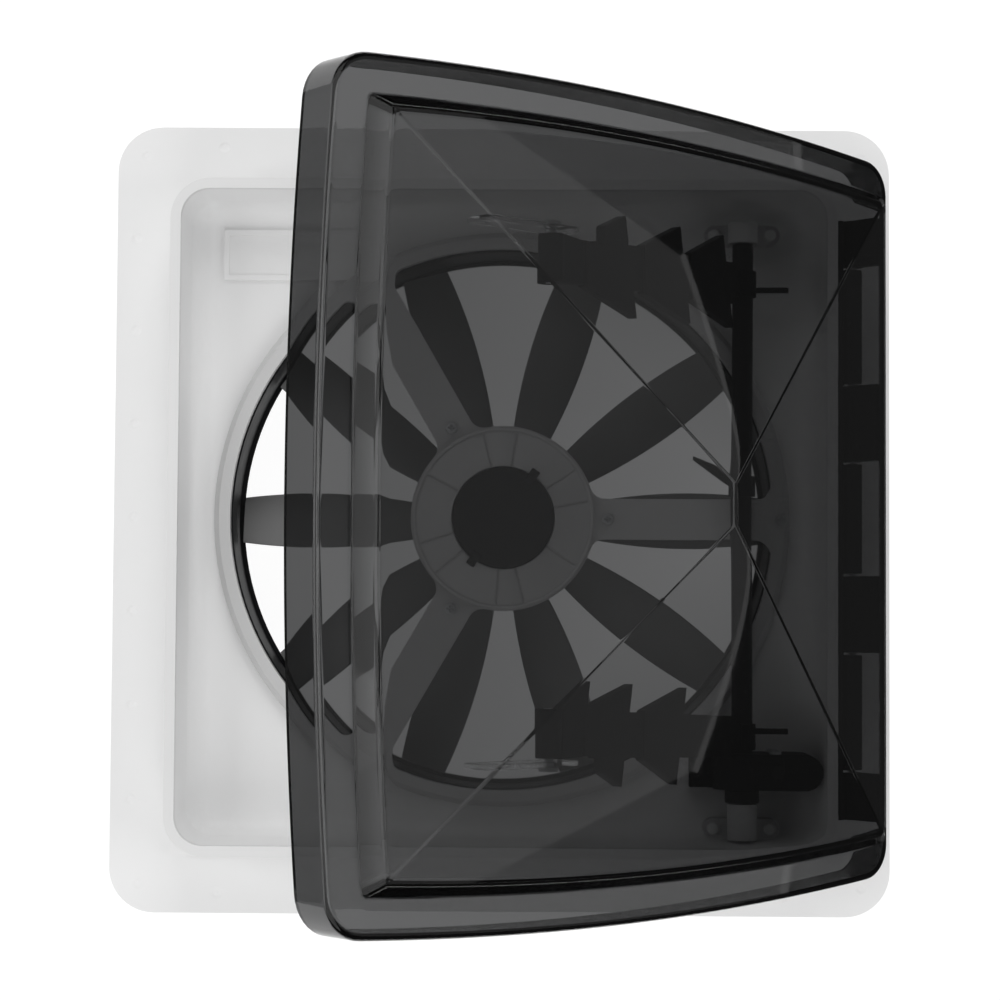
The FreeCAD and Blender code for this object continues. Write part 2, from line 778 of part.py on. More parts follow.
def make_motor():
    """Fixed pieces of the motor: plate, can, cap with two ears, bushes and the segmented cover."""
    plate_low = BRACKET_BOTTOM - S.motor_plate_thickness
    plate_radius = S.bracket_hub_radius - S.motor_plate_inset
    plate = turned([
        (S.motor_radius, plate_low),
        (plate_radius, plate_low),
        (plate_radius, BRACKET_BOTTOM),
        (S.motor_radius, BRACKET_BOTTOM),
    ])
    lugs = []
    for arm in range(BRACKET_ARMS):
        lug = box((S.motor_radius + S.motor_plate_inset, -(S.plate_ear_width / 2), plate_low),
                  (S.motor_screw_circle + S.plate_ear_end, S.plate_ear_width / 2, BRACKET_BOTTOM))
        lugs.append(group([lug]))
        lugs[-1].Placement = FreeCAD.Placement(Vector(), Rotation(Vector(0, 0, 1), ARM_STEP * arm))
    holes = [screw_hole((x, y, BRACKET_BOTTOM), S.motor_plate_thickness) for x, y in motor_screw_points()]
    node("motor_plate", cut(fuse(plate, *lugs), *holes))
    inside = S.motor_radius - S.motor_wall
    floor = MOTOR_BOTTOM + S.bush_length
    node("motor_can", turned([
        (S.bush_radius, MOTOR_BOTTOM),
        (S.motor_radius, MOTOR_BOTTOM),
        (S.motor_radius, MOTOR_TOP),
        (inside, MOTOR_TOP),
        (inside, floor),
        (S.bush_radius, floor),
    ]))
    cap_top = MOTOR_TOP + S.cap_thickness
    cap = turned([
        (0.0, MOTOR_TOP),
        (S.bush_radius, MOTOR_TOP),
        (S.bush_radius, MOTOR_TOP - S.cap_boss),
        (S.bush_radius + S.motor_wall, MOTOR_TOP - S.cap_boss),
        (S.bush_radius + S.motor_wall, MOTOR_TOP),
        (S.motor_radius, MOTOR_TOP),
        (S.motor_radius, cap_top),
        (0.0, cap_top),
    ])
    ears = []
    for angle in EAR_ANGLES:
        ear = box((S.motor_radius - S.ear_length, -(S.ear_width / 2), cap_top),
                  (S.motor_radius + S.ear_length, S.ear_width / 2, cap_top + S.ear_height))
        ears.append(group([ear]))
        ears[-1].Placement = FreeCAD.Placement(Vector(), Rotation(Vector(0, 0, 1), angle))
    node("motor_cap", fuse(cap, *ears))
    bore = S.motor_shaft_radius + S.running_fit
    bushes = []
    for low in (MOTOR_BOTTOM, MOTOR_TOP - S.cap_boss):
        bushes.append(turned([
            (bore, low),
            (S.bush_radius, low),
            (S.bush_radius, low + S.bush_length),
            (bore, low + S.bush_length),
        ]))
    node("motor_bushes", group(bushes))
    make_motor_cover()


def make_motor_cover():
    """Conical ring round the motor, with a raised rim and radial seams."""
    inner = S.motor_radius + S.motor_gap
    cone_foot = S.cover_radius - S.cover_rim
    cone_low = BRACKET_TOP + S.cover_rim_height - S.cover_rim / 2
    rim_top = BRACKET_TOP + S.cover_rim_height
    cone_top = BRACKET_TOP + S.cover_height
    cover = turned([
        (inner, BRACKET_TOP),
        (S.cover_radius, BRACKET_TOP),
        (S.cover_radius, rim_top),
        (cone_foot, rim_top),
        (cone_foot, cone_low),
        (inner, cone_top),
    ])
    slope = math.degrees(math.atan2(number(cone_top - cone_low), number(cone_foot - inner)))
    cutters = []
    for angle in SEAM_ANGLES:
        seam = doc.addObject("Part::Box", "Seam")
        bind(seam, Length=(cone_foot - inner) * 2, Width=S.seam_width, Height=S.cover_height)
        lean = Rotation(Vector(0, 1, 0), slope)
        start = Vector(number(inner), 0, number(cone_top)) - lean.multVec(
            Vector(number(cone_foot - inner) / 2, number(S.seam_width) / 2, number(S.seam_depth)))
        turn = FreeCAD.Placement(Vector(), Rotation(Vector(0, 0, 1), angle))
        seam.Placement = turn * FreeCAD.Placement(start, lean)
        cutters.append(seam)
    inside_rim = cylinder(cone_foot, S.cover_height * 2, (0.0, 0.0, BRACKET_TOP))
    node("motor_cover", cut(cover, common(fuse(*cutters), inside_rim)))


def make_impeller():
    """Hub cup and ten leaf-shaped blades set at a pitch."""
    body = new_body()
    bore = S.motor_shaft_radius + S.running_fit
    skin = S.hub_radius - S.hub_wall
    under_cap = HUB_TOP - S.hub_wall
    sketch = new_sketch(body, role="XZ_Plane")
    draw_outline(sketch, [
        (bore, HUB_BOTTOM),
        (S.hub_boss_radius, HUB_BOTTOM),
        (S.hub_boss_radius, under_cap),
        (skin, under_cap),
        (skin, HUB_BOTTOM),
        (S.hub_radius, HUB_BOTTOM),
        (S.hub_radius, HUB_TOP),
        (bore, HUB_TOP),
    ])
    hub = body.newObject("PartDesign::Revolution", "Hub")
    hub.Profile = sketch
    hub.ReferenceAxis = (sketch, ["V_Axis"])
    hub.Angle = 360
    leaf = new_sketch(body, (HUB_TOP + HUB_BOTTOM) / 2)
    pitched = Rotation(Vector(1, 0, 0), number(S.blade_pitch))
    leaf.AttachmentOffset = FreeCAD.Placement(leaf.AttachmentOffset.Base, pitched)
    draw_leaf(leaf)
    blade = body.newObject("PartDesign::Pad", "Blade")
    blade.Profile = leaf
    blade.SideType = "Symmetric"
    bind(blade, Length=S.blade_thickness)
    polar_pattern(body, blade, BLADE_COUNT)
    return node("impeller", body)


def draw_leaf(sketch):
    """Draws one blade along the sketch's X axis: two bowed sides between a narrow root and the tip."""
    root = S.hub_radius - S.hub_wall / 2
    tip = RING_RADIUS - S.tip_gap
    middle = (root + tip) / 2
    sides = []
    for sign in (1, -1):
        start = Vector(number(root), sign * number(S.blade_root_half), 0)
        crown = Vector(number(middle), sign * number(S.blade_middle_half), 0)
        end = Vector(number(tip), sign * number(S.blade_tip_half), 0)
        side = sketch.addGeometry(Part.Arc(start, crown, end))
        mark = sketch.addGeometry(Part.Point(crown), True)
        sketch.addConstraint(Sketcher.Constraint("PointOnObject", mark, 1, side))
        hold_point(sketch, mark, 1, middle, sign * S.blade_middle_half)
        sides.append((side, start, end))
    ends = []
    for pick in (1, 2):
        ends.append(sketch.addGeometry(Part.LineSegment(sides[0][pick], sides[1][pick])))
    for index, (side, start, end) in enumerate(sides):
        for line, point in zip(ends, (start, end)):
            first = sketch.getPoint(side, 1)
            side_end = 1 if first.distanceToPoint(point) < 1e-6 else 2
            sketch.addConstraint(Sketcher.Constraint("Coincident", side, side_end, line, index + 1))
    for line, across, half in zip(ends, (root, tip), (S.blade_root_half, S.blade_tip_half)):
        hold_point(sketch, line, 1, across, half)
        hold_point(sketch, line, 2, across, -half)


def make_fan_drive():
    """Motor shaft, armature and the nut that holds the impeller."""
    shaft_top = MOTOR_TOP - S.motor_gap
    nut_bottom = HUB_BOTTOM - S.nut_height
    node("motor_shaft", cylinder(S.motor_shaft_radius, shaft_top - nut_bottom, (0.0, 0.0, nut_bottom)))
    armature_low = MOTOR_BOTTOM + S.bush_length + S.motor_gap
    node("armature", turned([
        (S.motor_shaft_radius, armature_low),
        (S.armature_radius, armature_low),
        (S.armature_radius, armature_low + S.armature_length),
        (S.motor_shaft_radius, armature_low + S.armature_length),
    ]))
    node("fan_nut", turned([
        (S.motor_shaft_radius, nut_bottom),
        (S.nut_radius, nut_bottom),
        (S.nut_radius, HUB_BOTTOM),
        (S.motor_shaft_radius, HUB_BOTTOM),
    ]))


def lid_knuckle_spans():
    """Middle and length of each knuckle on the lid."""
    spans = []
    for side in (-1, 1):
        spans.append((side * S.outer_knuckle_y, S.outer_knuckle_length))
        spans.append((side * S.inner_knuckle_y, S.inner_knuckle_length))
    return spans


def base_knuckle_spans():
    """Middle and length of each knuckle on the base, which fill the spaces between the lid's."""
    inner_end = S.inner_knuckle_y + S.inner_knuckle_length / 2 + S.knuckle_gap
    outer_start = S.outer_knuckle_y - S.outer_knuckle_length / 2 - S.knuckle_gap
    centre_half = S.inner_knuckle_y - S.inner_knuckle_length / 2 - S.knuckle_gap
    spans = [(0.0 * centre_half, 2 * centre_half)]
    for side in (-1, 1):
        spans.append((side * (inner_end + outer_start) / 2, outer_start - inner_end))
    return spans


def barrel(radius, span):
    """A round along the hinge axis over one knuckle's span."""
    middle, length = span
    return cylinder(radius, length, (HINGE_X, middle - length / 2, HINGE_Z), "y")


def make_hinge():
    """Fixed leaf with its knuckles, the pin, and the leaf's screws."""
    half = S.outer_knuckle_y + S.outer_knuckle_length / 2
    face = HALF_CURB_X + S.leaf_thickness
    pieces = [box((HALF_CURB_X, -half, HINGE_Z - S.leaf_below), (face, half, HINGE_Z + S.leaf_above))]
    for span in base_knuckle_spans():
        middle, length = span
        pieces.append(barrel(S.knuckle_radius, span))
        pieces.append(box((face, middle - length / 2, HINGE_Z - S.knuckle_radius),
                          (HINGE_X, middle + length / 2, HINGE_Z)))
    pin_start = (HINGE_X, -half, HINGE_Z)
    bore = cylinder(S.hinge_pin_radius, 2 * half, pin_start, "y")
    screw_level = HINGE_Z - S.hinge_screw_drop
    places = [(face, side * middle, screw_level) for side in (-1, 1)
              for middle in (S.inner_knuckle_y, S.outer_knuckle_y)]
    holes = [screw_hole(at, S.leaf_thickness, "x") for at in places]
    node("hinge_base", cut(fuse(*pieces), bore, *holes))
    node("hinge_pin", cylinder(S.hinge_pin_radius, 2 * half, pin_start, "y"))
    node("hinge_screws", group([screw(at, S.leaf_thickness, "x") for at in places]))


def lid_point(along, across, level):
    """A point of the closed lid, measured from the hinge axis towards the free edge, sideways and up."""
    return Vector(number(HINGE_X) - along, across, number(HINGE_Z) + level)


def bowed_wire(near, far, half, bow_side, bow_free, level):
    """Outline of the lid at one level: straight at the hinge, bowed on the other three sides."""
    hinge_low = lid_point(near, -half, level)
    hinge_high = lid_point(near, half, level)
    free_low = lid_point(far, -half, level)
    free_high = lid_point(far, half, level)
    middle = (near + far) / 2
    edges = [
        Part.LineSegment(hinge_low, hinge_high).toShape(),
        Part.Arc(hinge_high, lid_point(middle, half + bow_side, level), free_high).toShape(),
        Part.Arc(free_high, lid_point(far + bow_free, 0, level), free_low).toShape(),
        Part.Arc(free_low, lid_point(middle, -half - bow_side, level), hinge_low).toShape(),
    ]
    return Part.Wire(edges)


def bowed_block(inset, low, high):
    """The lid's outline, drawn in by an inset, raised between two levels with rounded corners."""
    near = inset - number(S.lid_overhang_hinge)
    far = number(LID_FAR) - inset
    half = number(HALF_CURB_Y + S.lid_overhang_side) - inset
    wire = bowed_wire(near, far, half, number(S.lid_bow_side), number(S.lid_bow_free), low)
    block = Part.Face(wire).extrude(Vector(0, 0, high - low))
    middle_x = number(HINGE_X) - (near + far) / 2
    upright = [edge for edge in block.Edges if abs(edge.BoundBox.ZLength - (high - low)) < 0.01]
    free = [edge for edge in upright if edge.BoundBox.XMax < middle_x]
    block = block.makeFillet(number(S.lid_corner_free) - inset, free)
    hinge = [edge for edge in block.Edges if abs(edge.BoundBox.ZLength - (high - low)) < 0.01
             and edge.BoundBox.XMin > number(HINGE_X) - near - 0.01 and edge.BoundBox.XLength < 0.01
             and edge.BoundBox.YLength < 0.01]
    return block.makeFillet(number(S.lid_corner_hinge) - inset, hinge)


def ridge_wire(middle, level):
    """Narrow flat on which the four slopes of the lid end, long across the lid."""
    half_flat = number(S.lid_ridge_flat) / 2
    half = number(S.lid_ridge) / 2
    corners = [(-half_flat, -half), (-half_flat, half), (half_flat, half), (half_flat, -half)]
    corners.append(corners[0])
    return Part.makePolygon([lid_point(middle + along, across, level) for along, across in corners])


def lid_panel(inset, foot_level):
    """Raised panel of the lid: a leaning step and a four-sided rise whose creases meet in a short ridge."""
    border = number(S.lid_border) + inset
    lean = number(S.lid_step_lean)
    near = number(S.lid_border_hinge) - number(S.lid_overhang_hinge) + inset
    far = number(LID_FAR) - border
    half = number(HALF_CURB_Y + S.lid_overhang_side) - border
    bows = (number(S.lid_panel_bow_side), number(S.lid_panel_bow_free))
    step_top = number(S.lid_skirt + S.lid_step) - inset
    foot = bowed_wire(near, far, half, *bows, foot_level)
    shoulder = bowed_wire(near + number(S.lid_step_lean_hinge), far - lean, half - lean, *bows, step_top)
    ridge = ridge_wire((near + far) / 2 - number(S.lid_ridge_shift), step_top + number(S.lid_rise))
    step = Part.makeLoft([foot, shoulder], True, True)
    rise = Part.makeLoft([shoulder, ridge], True, True)
    return step.fuse(rise)


def lid_cavity():
    """The space inside the lid's walls."""
    wall = number(S.lid_wall)
    under_border = number(S.lid_skirt) - wall
    return bowed_block(wall, -wall, under_border).fuse(lid_panel(wall, under_border - wall))


def make_lid():
    """Smoked lid shell: skirt on three sides, flat border, step and pyramid, with a short lip at the hinge."""
    skirt = number(S.lid_skirt)
    block = bowed_block(0.0, 0.0, skirt)
    top_rim = [edge for edge in block.Edges if edge.BoundBox.ZLength < 0.01
               and abs(edge.BoundBox.ZMax - number(HINGE_Z) - skirt) < 0.01]
    block = block.makeFillet(number(S.lid_edge_round), top_rim)
    shell = block.fuse(lid_panel(0.0, skirt - number(S.lid_wall))).cut(lid_cavity())
    reach = number(S.lid_corner_hinge)
    wide = number(HALF_CURB_Y + S.lid_overhang_side) - reach
    low = lid_point(reach - number(S.lid_overhang_hinge), -wide, -number(S.lid_wall))
    gap = Part.makeBox(2 * reach, 2 * wide, skirt - number(S.lid_hinge_lip) + number(S.lid_wall), low)
    item = doc.addObject("Part::Feature", "Lid")
    item.Shape = shell.cut(gap).removeSplitter()
    return node("lid_shell", swing(item, HINGE_X, HINGE_Z, number(S.lid_angle)))


def make_lid_knuckles():
    """Knuckles that hang from the lid's border on short webs and turn on the pin."""
    blocks = []
    under_border = HINGE_Z + S.lid_skirt - S.lid_wall
    lip_inside = HINGE_X + S.lid_overhang_hinge - S.lid_wall
    for span in lid_knuckle_spans():
        middle, length = span
        web = box((lip_inside - S.knuckle_web, middle - length / 2, HINGE_Z),
                  (lip_inside, middle + length / 2, under_border))
        blocks.append(cut(fuse(barrel(S.knuckle_radius, span), web),
                          barrel(S.hinge_pin_radius + S.running_fit, span)))
    return node("lid_knuckles", swing(group(blocks), HINGE_X, HINGE_Z, number(S.lid_angle)))


def shaft_in_lid(lid_angle):
    """Where the cross shaft stands in the lid's own measures, along and up, for one angle of the lid."""
    turn = math.radians(lid_angle)
    reach = number(S.shaft_reach)
    rise = number(SHAFT_Z - HINGE_Z)
    return reach * math.cos(turn) + rise * math.sin(turn), rise * math.cos(turn) - reach * math.sin(turn)


def arm_length():
    """Length from shaft to slide pin that puts the pin at its place in the open lid."""
    along, level = shaft_in_lid(number(S.lid_angle))
    return math.hypot(number(LID_FAR - S.slide_pin_inset) - along, number(S.rail_level) - level)


def slide_place(lid_angle):
    """Where the slide pin stands along the lid, and the arm's rise in degrees, for one angle of the lid."""
    along, level = shaft_in_lid(lid_angle)
    height = number(S.rail_level) - level
    pin = along + math.sqrt(LIFT_ARM_LENGTH ** 2 - height ** 2)
    return pin, math.degrees(math.asin(height / LIFT_ARM_LENGTH)) + lid_angle


LIFT_ARM_LENGTH = arm_length()
PIN_OPEN, ARM_OPEN = slide_place(number(S.lid_angle))
PIN_CLOSED, ARM_CLOSED = slide_place(0.0)


def rail_inner(side):
    """Distance from the middle plane to the inner face of one side's rail."""
    return TIP_Y[side] + S.lift_arm_width / 2 + S.rail_gap


def make_rails():
    """Slotted rails under the lid in which the arms' slide pins travel; their tops follow the lid's inside."""
    end = number(S.rail_end)
    level = number(S.rail_level)
    slot_half = number(S.slide_pin_radius + S.rail_slot_clearance)
    nearest = min(PIN_OPEN, PIN_CLOSED)
    farthest = max(PIN_OPEN, PIN_CLOSED)
    top = number(S.lid_skirt + S.lid_step + S.lid_rise)
    thickness = number(S.rail_thickness)
    for side, label in ((1, "lid_rail_upper"), (-1, "lid_rail_lower")):
        inner = number(rail_inner(side))
        start_y = inner if side > 0 else -inner - thickness
        corner = lid_point(farthest + end, start_y, level - number(S.rail_below))
        plate = Part.makeBox(farthest - nearest + 2 * end, thickness, top, corner).common(lid_cavity())
        slot_length = farthest - nearest + 2 * slot_half
        slot_corner = lid_point(farthest + slot_half, start_y, level - slot_half)
        slot = Part.makeBox(slot_length, thickness, 2 * slot_half, slot_corner)
        item = doc.addObject("Part::Feature", "Rail")
        item.Shape = plate.cut(slot)
        node(label, swing(item, HINGE_X, HINGE_Z, number(S.lid_angle)))


def make_tier(side, share, length_share):
    """One swept tier of an arm: a plate, wide and slanted towards the shaft, narrow towards the tip."""
    body = new_body()
    sketch = new_sketch(body)
    start = LIFT_ARM_LENGTH * share
    end = start + LIFT_ARM_LENGTH * length_share
    lag = S.tier_slant / 2
    draw_outline(sketch, [
        (-(start + lag), side * S.tier_half_width),
        (-end, side * S.tier_neck_half),
        (-end, -side * S.tier_neck_half),
        (-(start - lag), -side * S.tier_half_width),
    ])
    pad(body, sketch, S.tier_below + S.tier_above)
    place(body, (SHAFT_X, side * ROOT_Y[side], SHAFT_Z - S.tier_below))
    return body


def make_lift_arm(side, tiers):
    """One lift arm, pointing away from the hinge: neck, bar, swept tiers, boss and eye.

    It is drawn with its eye level with the shaft, so the bar rises a little towards the eye that hangs below it.
    """
    root_y = side * ROOT_Y[side]
    tip_y = side * TIP_Y[side]
    width = S.lift_arm_width
    neck = S.lift_neck_width
    arm_end = SHAFT_X - LIFT_ARM_LENGTH
    low = SHAFT_Z - S.lift_arm_below
    high = SHAFT_Z + S.lift_arm_above
    bar_start = SHAFT_X - S.lift_neck_reach
    plates = [
        box((arm_end, root_y - width / 2, low), (bar_start, root_y + width / 2, high)),
        box((bar_start, root_y - neck / 2, low), (SHAFT_X, root_y + neck / 2, high)),
    ]
    plates.extend(make_tier(side, share, length_share) for share, length_share in tiers)
    beam = group([fuse(*plates)])
    toe = math.degrees(math.atan2(number(tip_y - root_y), LIFT_ARM_LENGTH))
    lift = math.degrees(math.atan2(number(S.lift_eye_drop), LIFT_ARM_LENGTH))
    pivot = Vector(number(SHAFT_X), number(root_y), number(SHAFT_Z))
    turn = Rotation(Vector(0, 1, 0), lift).multiply(Rotation(Vector(0, 0, 1), -toe))
    beam.Placement = FreeCAD.Placement(Vector(), turn, pivot)
    boss = cylinder(S.lift_boss_radius, neck, (SHAFT_X, root_y - neck / 2, SHAFT_Z), "y")
    eye = cylinder(S.lift_eye_radius, width, (arm_end, tip_y - width / 2, SHAFT_Z), "y")
    tools = [
        cylinder(S.shaft_radius, 2 * width, (SHAFT_X, root_y - width, SHAFT_Z), "y"),
        cylinder(S.slide_pin_radius, 2 * width, (arm_end, tip_y - width, SHAFT_Z), "y"),
        rail_notch(side),
        swing(group([lock_pin(side)]), SHAFT_X, SHAFT_Z, -ARM_OPEN),
    ]
    return cut(fuse(beam, boss, eye), *tools)


def rail_notch(side):
    """Space that the rail sweeps beside the outer end of an arm, drawn in the level pose."""
    arm_end = SHAFT_X - LIFT_ARM_LENGTH
    near_y = rail_inner(side) - S.rail_gap / 2
    far_y = near_y + S.tier_half_width
    low_y, high_y = (near_y, far_y) if side > 0 else (-far_y, -near_y)
    travel = abs(PIN_CLOSED - PIN_OPEN)
    reach = S.rail_end + S.rail_gap + travel
    return box((arm_end - S.lift_arm_width, low_y, SHAFT_Z - S.lift_arm_width),
               (arm_end + reach, high_y, SHAFT_Z + S.lift_arm_width))


def lock_pin(side):
    """Pin that locks an arm to the shaft, level in the open pose, with its tail towards the hinge."""
    start = SHAFT_X - S.lift_boss_radius
    y = side * (ROOT_Y[side] - S.lock_pin_inset)
    return cylinder(S.lock_pin_radius, S.lift_boss_radius + S.lock_pin_tail, (start, y, SHAFT_Z), "x")


def make_slide_pin(side):
    """Headed pin through an arm's eye and its rail, drawn in the level pose."""
    arm_end = SHAFT_X - LIFT_ARM_LENGTH
    inner = TIP_Y[side] - S.lift_arm_width / 2
    outer = rail_inner(side) + S.rail_thickness + S.rail_gap / 2
    shank_y = inner if side > 0 else -outer
    head_y = outer if side > 0 else -(outer + S.slide_pin_head_length)
    shank = cylinder(S.slide_pin_radius, outer - inner, (arm_end, shank_y, SHAFT_Z), "y")
    head = cylinder(S.slide_pin_head, S.slide_pin_head_length, (arm_end, head_y, SHAFT_Z), "y")
    return fuse(shank, head)


def make_lift():
    """Cross shaft with its two arms, their pins, the collar, the worm wheel and a stop finger."""
    for side, tiers, name in ((1, UPPER_TIERS, "upper"), (-1, LOWER_TIERS, "lower")):
        node(f"lift_arm_{name}", swing(make_lift_arm(side, tiers), SHAFT_X, SHAFT_Z, ARM_OPEN))
        node(f"slide_pin_{name}", swing(make_slide_pin(side), SHAFT_X, SHAFT_Z, ARM_OPEN))
    node("arm_lock_pins", group([lock_pin(side) for side in (-1, 1)]))
    upper_journal = S.bracket_depth + S.bearing_gap
    lower_journal = S.lower_bearing_length + S.bearing_gap
    shaft = fuse(
        cylinder(S.shaft_radius, SHAFT_UPPER_Y - SHAFT_LOWER_Y, (SHAFT_X, SHAFT_LOWER_Y, SHAFT_Z), "y"),
        cylinder(S.journal_radius, upper_journal, (SHAFT_X, SHAFT_UPPER_Y, SHAFT_Z), "y"),
        cylinder(S.journal_radius, lower_journal, (SHAFT_X, SHAFT_LOWER_Y - lower_journal, SHAFT_Z), "y"),
    )
    node("cross_shaft", cut(shaft, lock_pin(-1), lock_pin(1)))
    collar_length = GEAR_CASE_OUTER_Y - S.bearing_gap - SHAFT_LOWER_Y
    collar_start = (SHAFT_X, SHAFT_LOWER_Y, SHAFT_Z)
    node("shaft_collar", cut(cylinder(S.collar_radius, collar_length, collar_start, "y"),
                             cylinder(S.shaft_radius, collar_length, collar_start, "y")))
    make_worm_wheel()
    make_finger()


def make_worm_wheel():
    """Toothed wheel fixed on the cross shaft inside the gear case."""
    start = (SHAFT_X, GEAR_Y - S.wheel_width / 2, SHAFT_Z)
    disc = cylinder(S.wheel_radius, S.wheel_width, start, "y")
    tools = [cylinder(S.shaft_radius, S.wheel_width, start, "y")]
    gap = math.pi * number(S.wheel_radius) / TOOTH_COUNT / 2
    for tooth in range(TOOTH_COUNT):
        angle = 2 * math.pi * tooth / TOOTH_COUNT
        centre_x = SHAFT_X + S.wheel_radius * math.cos(angle)
        centre_z = SHAFT_Z + S.wheel_radius * math.sin(angle)
        tools.append(cylinder(gap, S.wheel_width, (centre_x, GEAR_Y - S.wheel_width / 2, centre_z), "y"))
    return node("worm_wheel", cut(disc, *tools))


def make_finger():
    """Small leaning stop on the cross shaft."""
    wedge = doc.addObject("Part::Wedge", "Finger")
    half = S.finger_width / 2
    thick = S.finger_height / 2
    point = S.finger_point / 2
    bind(wedge, Xmin=-half, Xmax=half, Ymin=0.0, Ymax=S.finger_reach, Zmin=-thick, Zmax=thick,
         X2min=S.finger_lean - point, X2max=S.finger_lean + point, Z2min=-thick, Z2max=thick)
    base = Vector(number(SHAFT_X), number(S.finger_y), number(SHAFT_Z))
    wedge.Placement = FreeCAD.Placement(base, Rotation(Vector(0, 0, 1), 90))
    start = (SHAFT_X, S.finger_y - half, SHAFT_Z)
    sleeve = cylinder(S.shaft_radius + thick, S.finger_width, start, "y")
    bore = cylinder(S.shaft_radius, S.finger_width + S.finger_lean, start, "y")
    return node("shaft_finger", cut(fuse(wedge, sleeve), bore))


def upper_bracket_y():
    """Middle of the upper bracket."""
    return SHAFT_UPPER_Y + S.bearing_gap + S.bracket_depth / 2


def lower_bracket_y():
    """Middle of the lower bracket's foot."""
    return SHAFT_LOWER_Y - S.bearing_gap - S.lower_bearing_length + S.bracket_depth / 2


def shaft_bracket_screw_points():
    """Places of the two screws on each shaft bracket."""
    half = S.bracket_boss_spread / 2
    return [(SHAFT_X + side * half, y) for y in (upper_bracket_y(), lower_bracket_y()) for side in (-1, 1)]


def make_shaft_brackets(tray):
    """Footed columns that carry the ends of the cross shaft; their feet follow the tray's rounded edge."""
    half_column = S.bracket_column / 2
    half_spread = S.bracket_boss_spread / 2
    bore_radius = S.journal_radius + S.running_fit
    low_y = lower_bracket_y() - S.bracket_depth / 2
    bearings = {
        "upper": (upper_bracket_y(), upper_bracket_y() - S.bracket_depth / 2, S.bracket_depth),
        "lower": (lower_bracket_y(), low_y, S.lower_bearing_length),
    }
    screws = []
    for name, (y, bearing_y, bearing_length) in bearings.items():
        half_depth = S.bracket_depth / 2
        pieces = [
            box((SHAFT_X - half_spread, y - half_depth, S.flange_thickness),
                (SHAFT_X + half_spread, y + half_depth, FOOT_TOP)),
            box((SHAFT_X - half_column, y - half_depth, S.flange_thickness),
                (SHAFT_X + half_column, y + half_depth, SHAFT_Z)),
            cylinder(S.bearing_radius, bearing_length, (SHAFT_X, bearing_y, SHAFT_Z), "y"),
        ]
        holes = [cylinder(bore_radius, bearing_length, (SHAFT_X, bearing_y, SHAFT_Z), "y")]
        for side in (-1, 1):
            at = (SHAFT_X + side * half_spread, y, FOOT_TOP)
            pieces.append(cylinder(S.bracket_boss_radius, FOOT_TOP - S.flange_thickness,
                                   (at[0], at[1], S.flange_thickness)))
            holes.append(screw_hole(at, FOOT_TOP - S.flange_thickness))
            screws.append(screw(at, FOOT_TOP - S.flange_thickness))
        below = box((SHAFT_X - S.curb_x, y - S.curb_y, -S.rim_height),
                    (SHAFT_X + S.curb_x, y + S.curb_y, FLOOR_TOP))
        node(f"shaft_bracket_{name}", cut(cut(fuse(*pieces), *holes), below, tray))
    node("bracket_screws", group(screws))


def make_gear_case(tray):
    """Oblong black case round the wheel and worm, with a foot and a screwed cover on its inner side."""
    wall = S.gear_case_wall
    inner_y = GEAR_CASE_INNER_Y - S.gear_cover_thickness
    end_x = CRANK_X + S.case_end_reach
    nose = S.gear_case_width / 2
    left_x = SHAFT_X - S.case_foot_reach
    case_top = SHAFT_Z + S.case_rise
    height = SHAFT_Z + S.gear_case_radius - FLOOR_TOP
    width = inner_y - GEAR_CASE_OUTER_Y
    plan = fuse(
        box((left_x, GEAR_CASE_OUTER_Y, FLOOR_TOP), (end_x - nose, GEAR_CASE_INNER_Y, FLOOR_TOP + height)),
        cylinder(nose, height, (end_x - nose, GEAR_Y, FLOOR_TOP)),
    )
    outside = fuse(
        cylinder(S.gear_case_radius, width, (SHAFT_X, GEAR_CASE_OUTER_Y, SHAFT_Z), "y"),
        box((SHAFT_X, GEAR_CASE_OUTER_Y, FLOOR_TOP), (end_x, inner_y, case_top)),
        box((left_x, GEAR_CASE_OUTER_Y, FLOOR_TOP), (SHAFT_X, inner_y, FLOOR_TOP + S.case_foot_height)),
    )
    cavity_low_y = GEAR_CASE_OUTER_Y + wall
    cavity = fuse(
        cylinder(S.gear_case_radius - wall, width, (SHAFT_X, cavity_low_y, SHAFT_Z), "y"),
        box((SHAFT_X, cavity_low_y, FLOOR_TOP + wall), (end_x - nose, cavity_low_y + width, case_top - wall)),
    )
    shaft_hole = cylinder(S.shaft_radius + S.bearing_gap, 2 * S.gear_case_width,
                          (SHAFT_X, GEAR_CASE_OUTER_Y - nose, SHAFT_Z), "y")
    spindle_hole = cylinder(S.spindle_radius + S.running_fit, S.rim_height * 2, (CRANK_X, GEAR_Y, 0.0))
    bush_space = cylinder(S.crank_bush_radius + S.crank_bush_lip + S.tray_gap, S.ring_lip_thickness + S.tray_gap,
                          (CRANK_X, GEAR_Y, FLOOR_TOP))
    case = cut(common(outside, plan), cavity, shaft_hole, spindle_hole, bush_space)
    cover = fuse(
        cylinder(S.gear_case_radius, S.gear_cover_thickness, (SHAFT_X, inner_y, SHAFT_Z), "y"),
        box((SHAFT_X, inner_y, FLOOR_TOP), (end_x, GEAR_CASE_INNER_Y, case_top)),
    )
    screw_x = SHAFT_X + S.gear_screw_reach
    levels = (FLOOR_TOP + wall + S.screw_head_radius, case_top - S.screw_head_radius)
    places = [(screw_x, GEAR_CASE_INNER_Y, level) for level in levels]
    holes = [screw_hole(at, S.gear_cover_thickness, "y") for at in places]
    node("gear_housing", cut(case, tray))
    node("gear_cover", cut(common(cover, plan), shaft_hole, bush_space, tray, *holes))
    node("gear_screws", group([screw(at, S.gear_cover_thickness, "y") for at in places]))


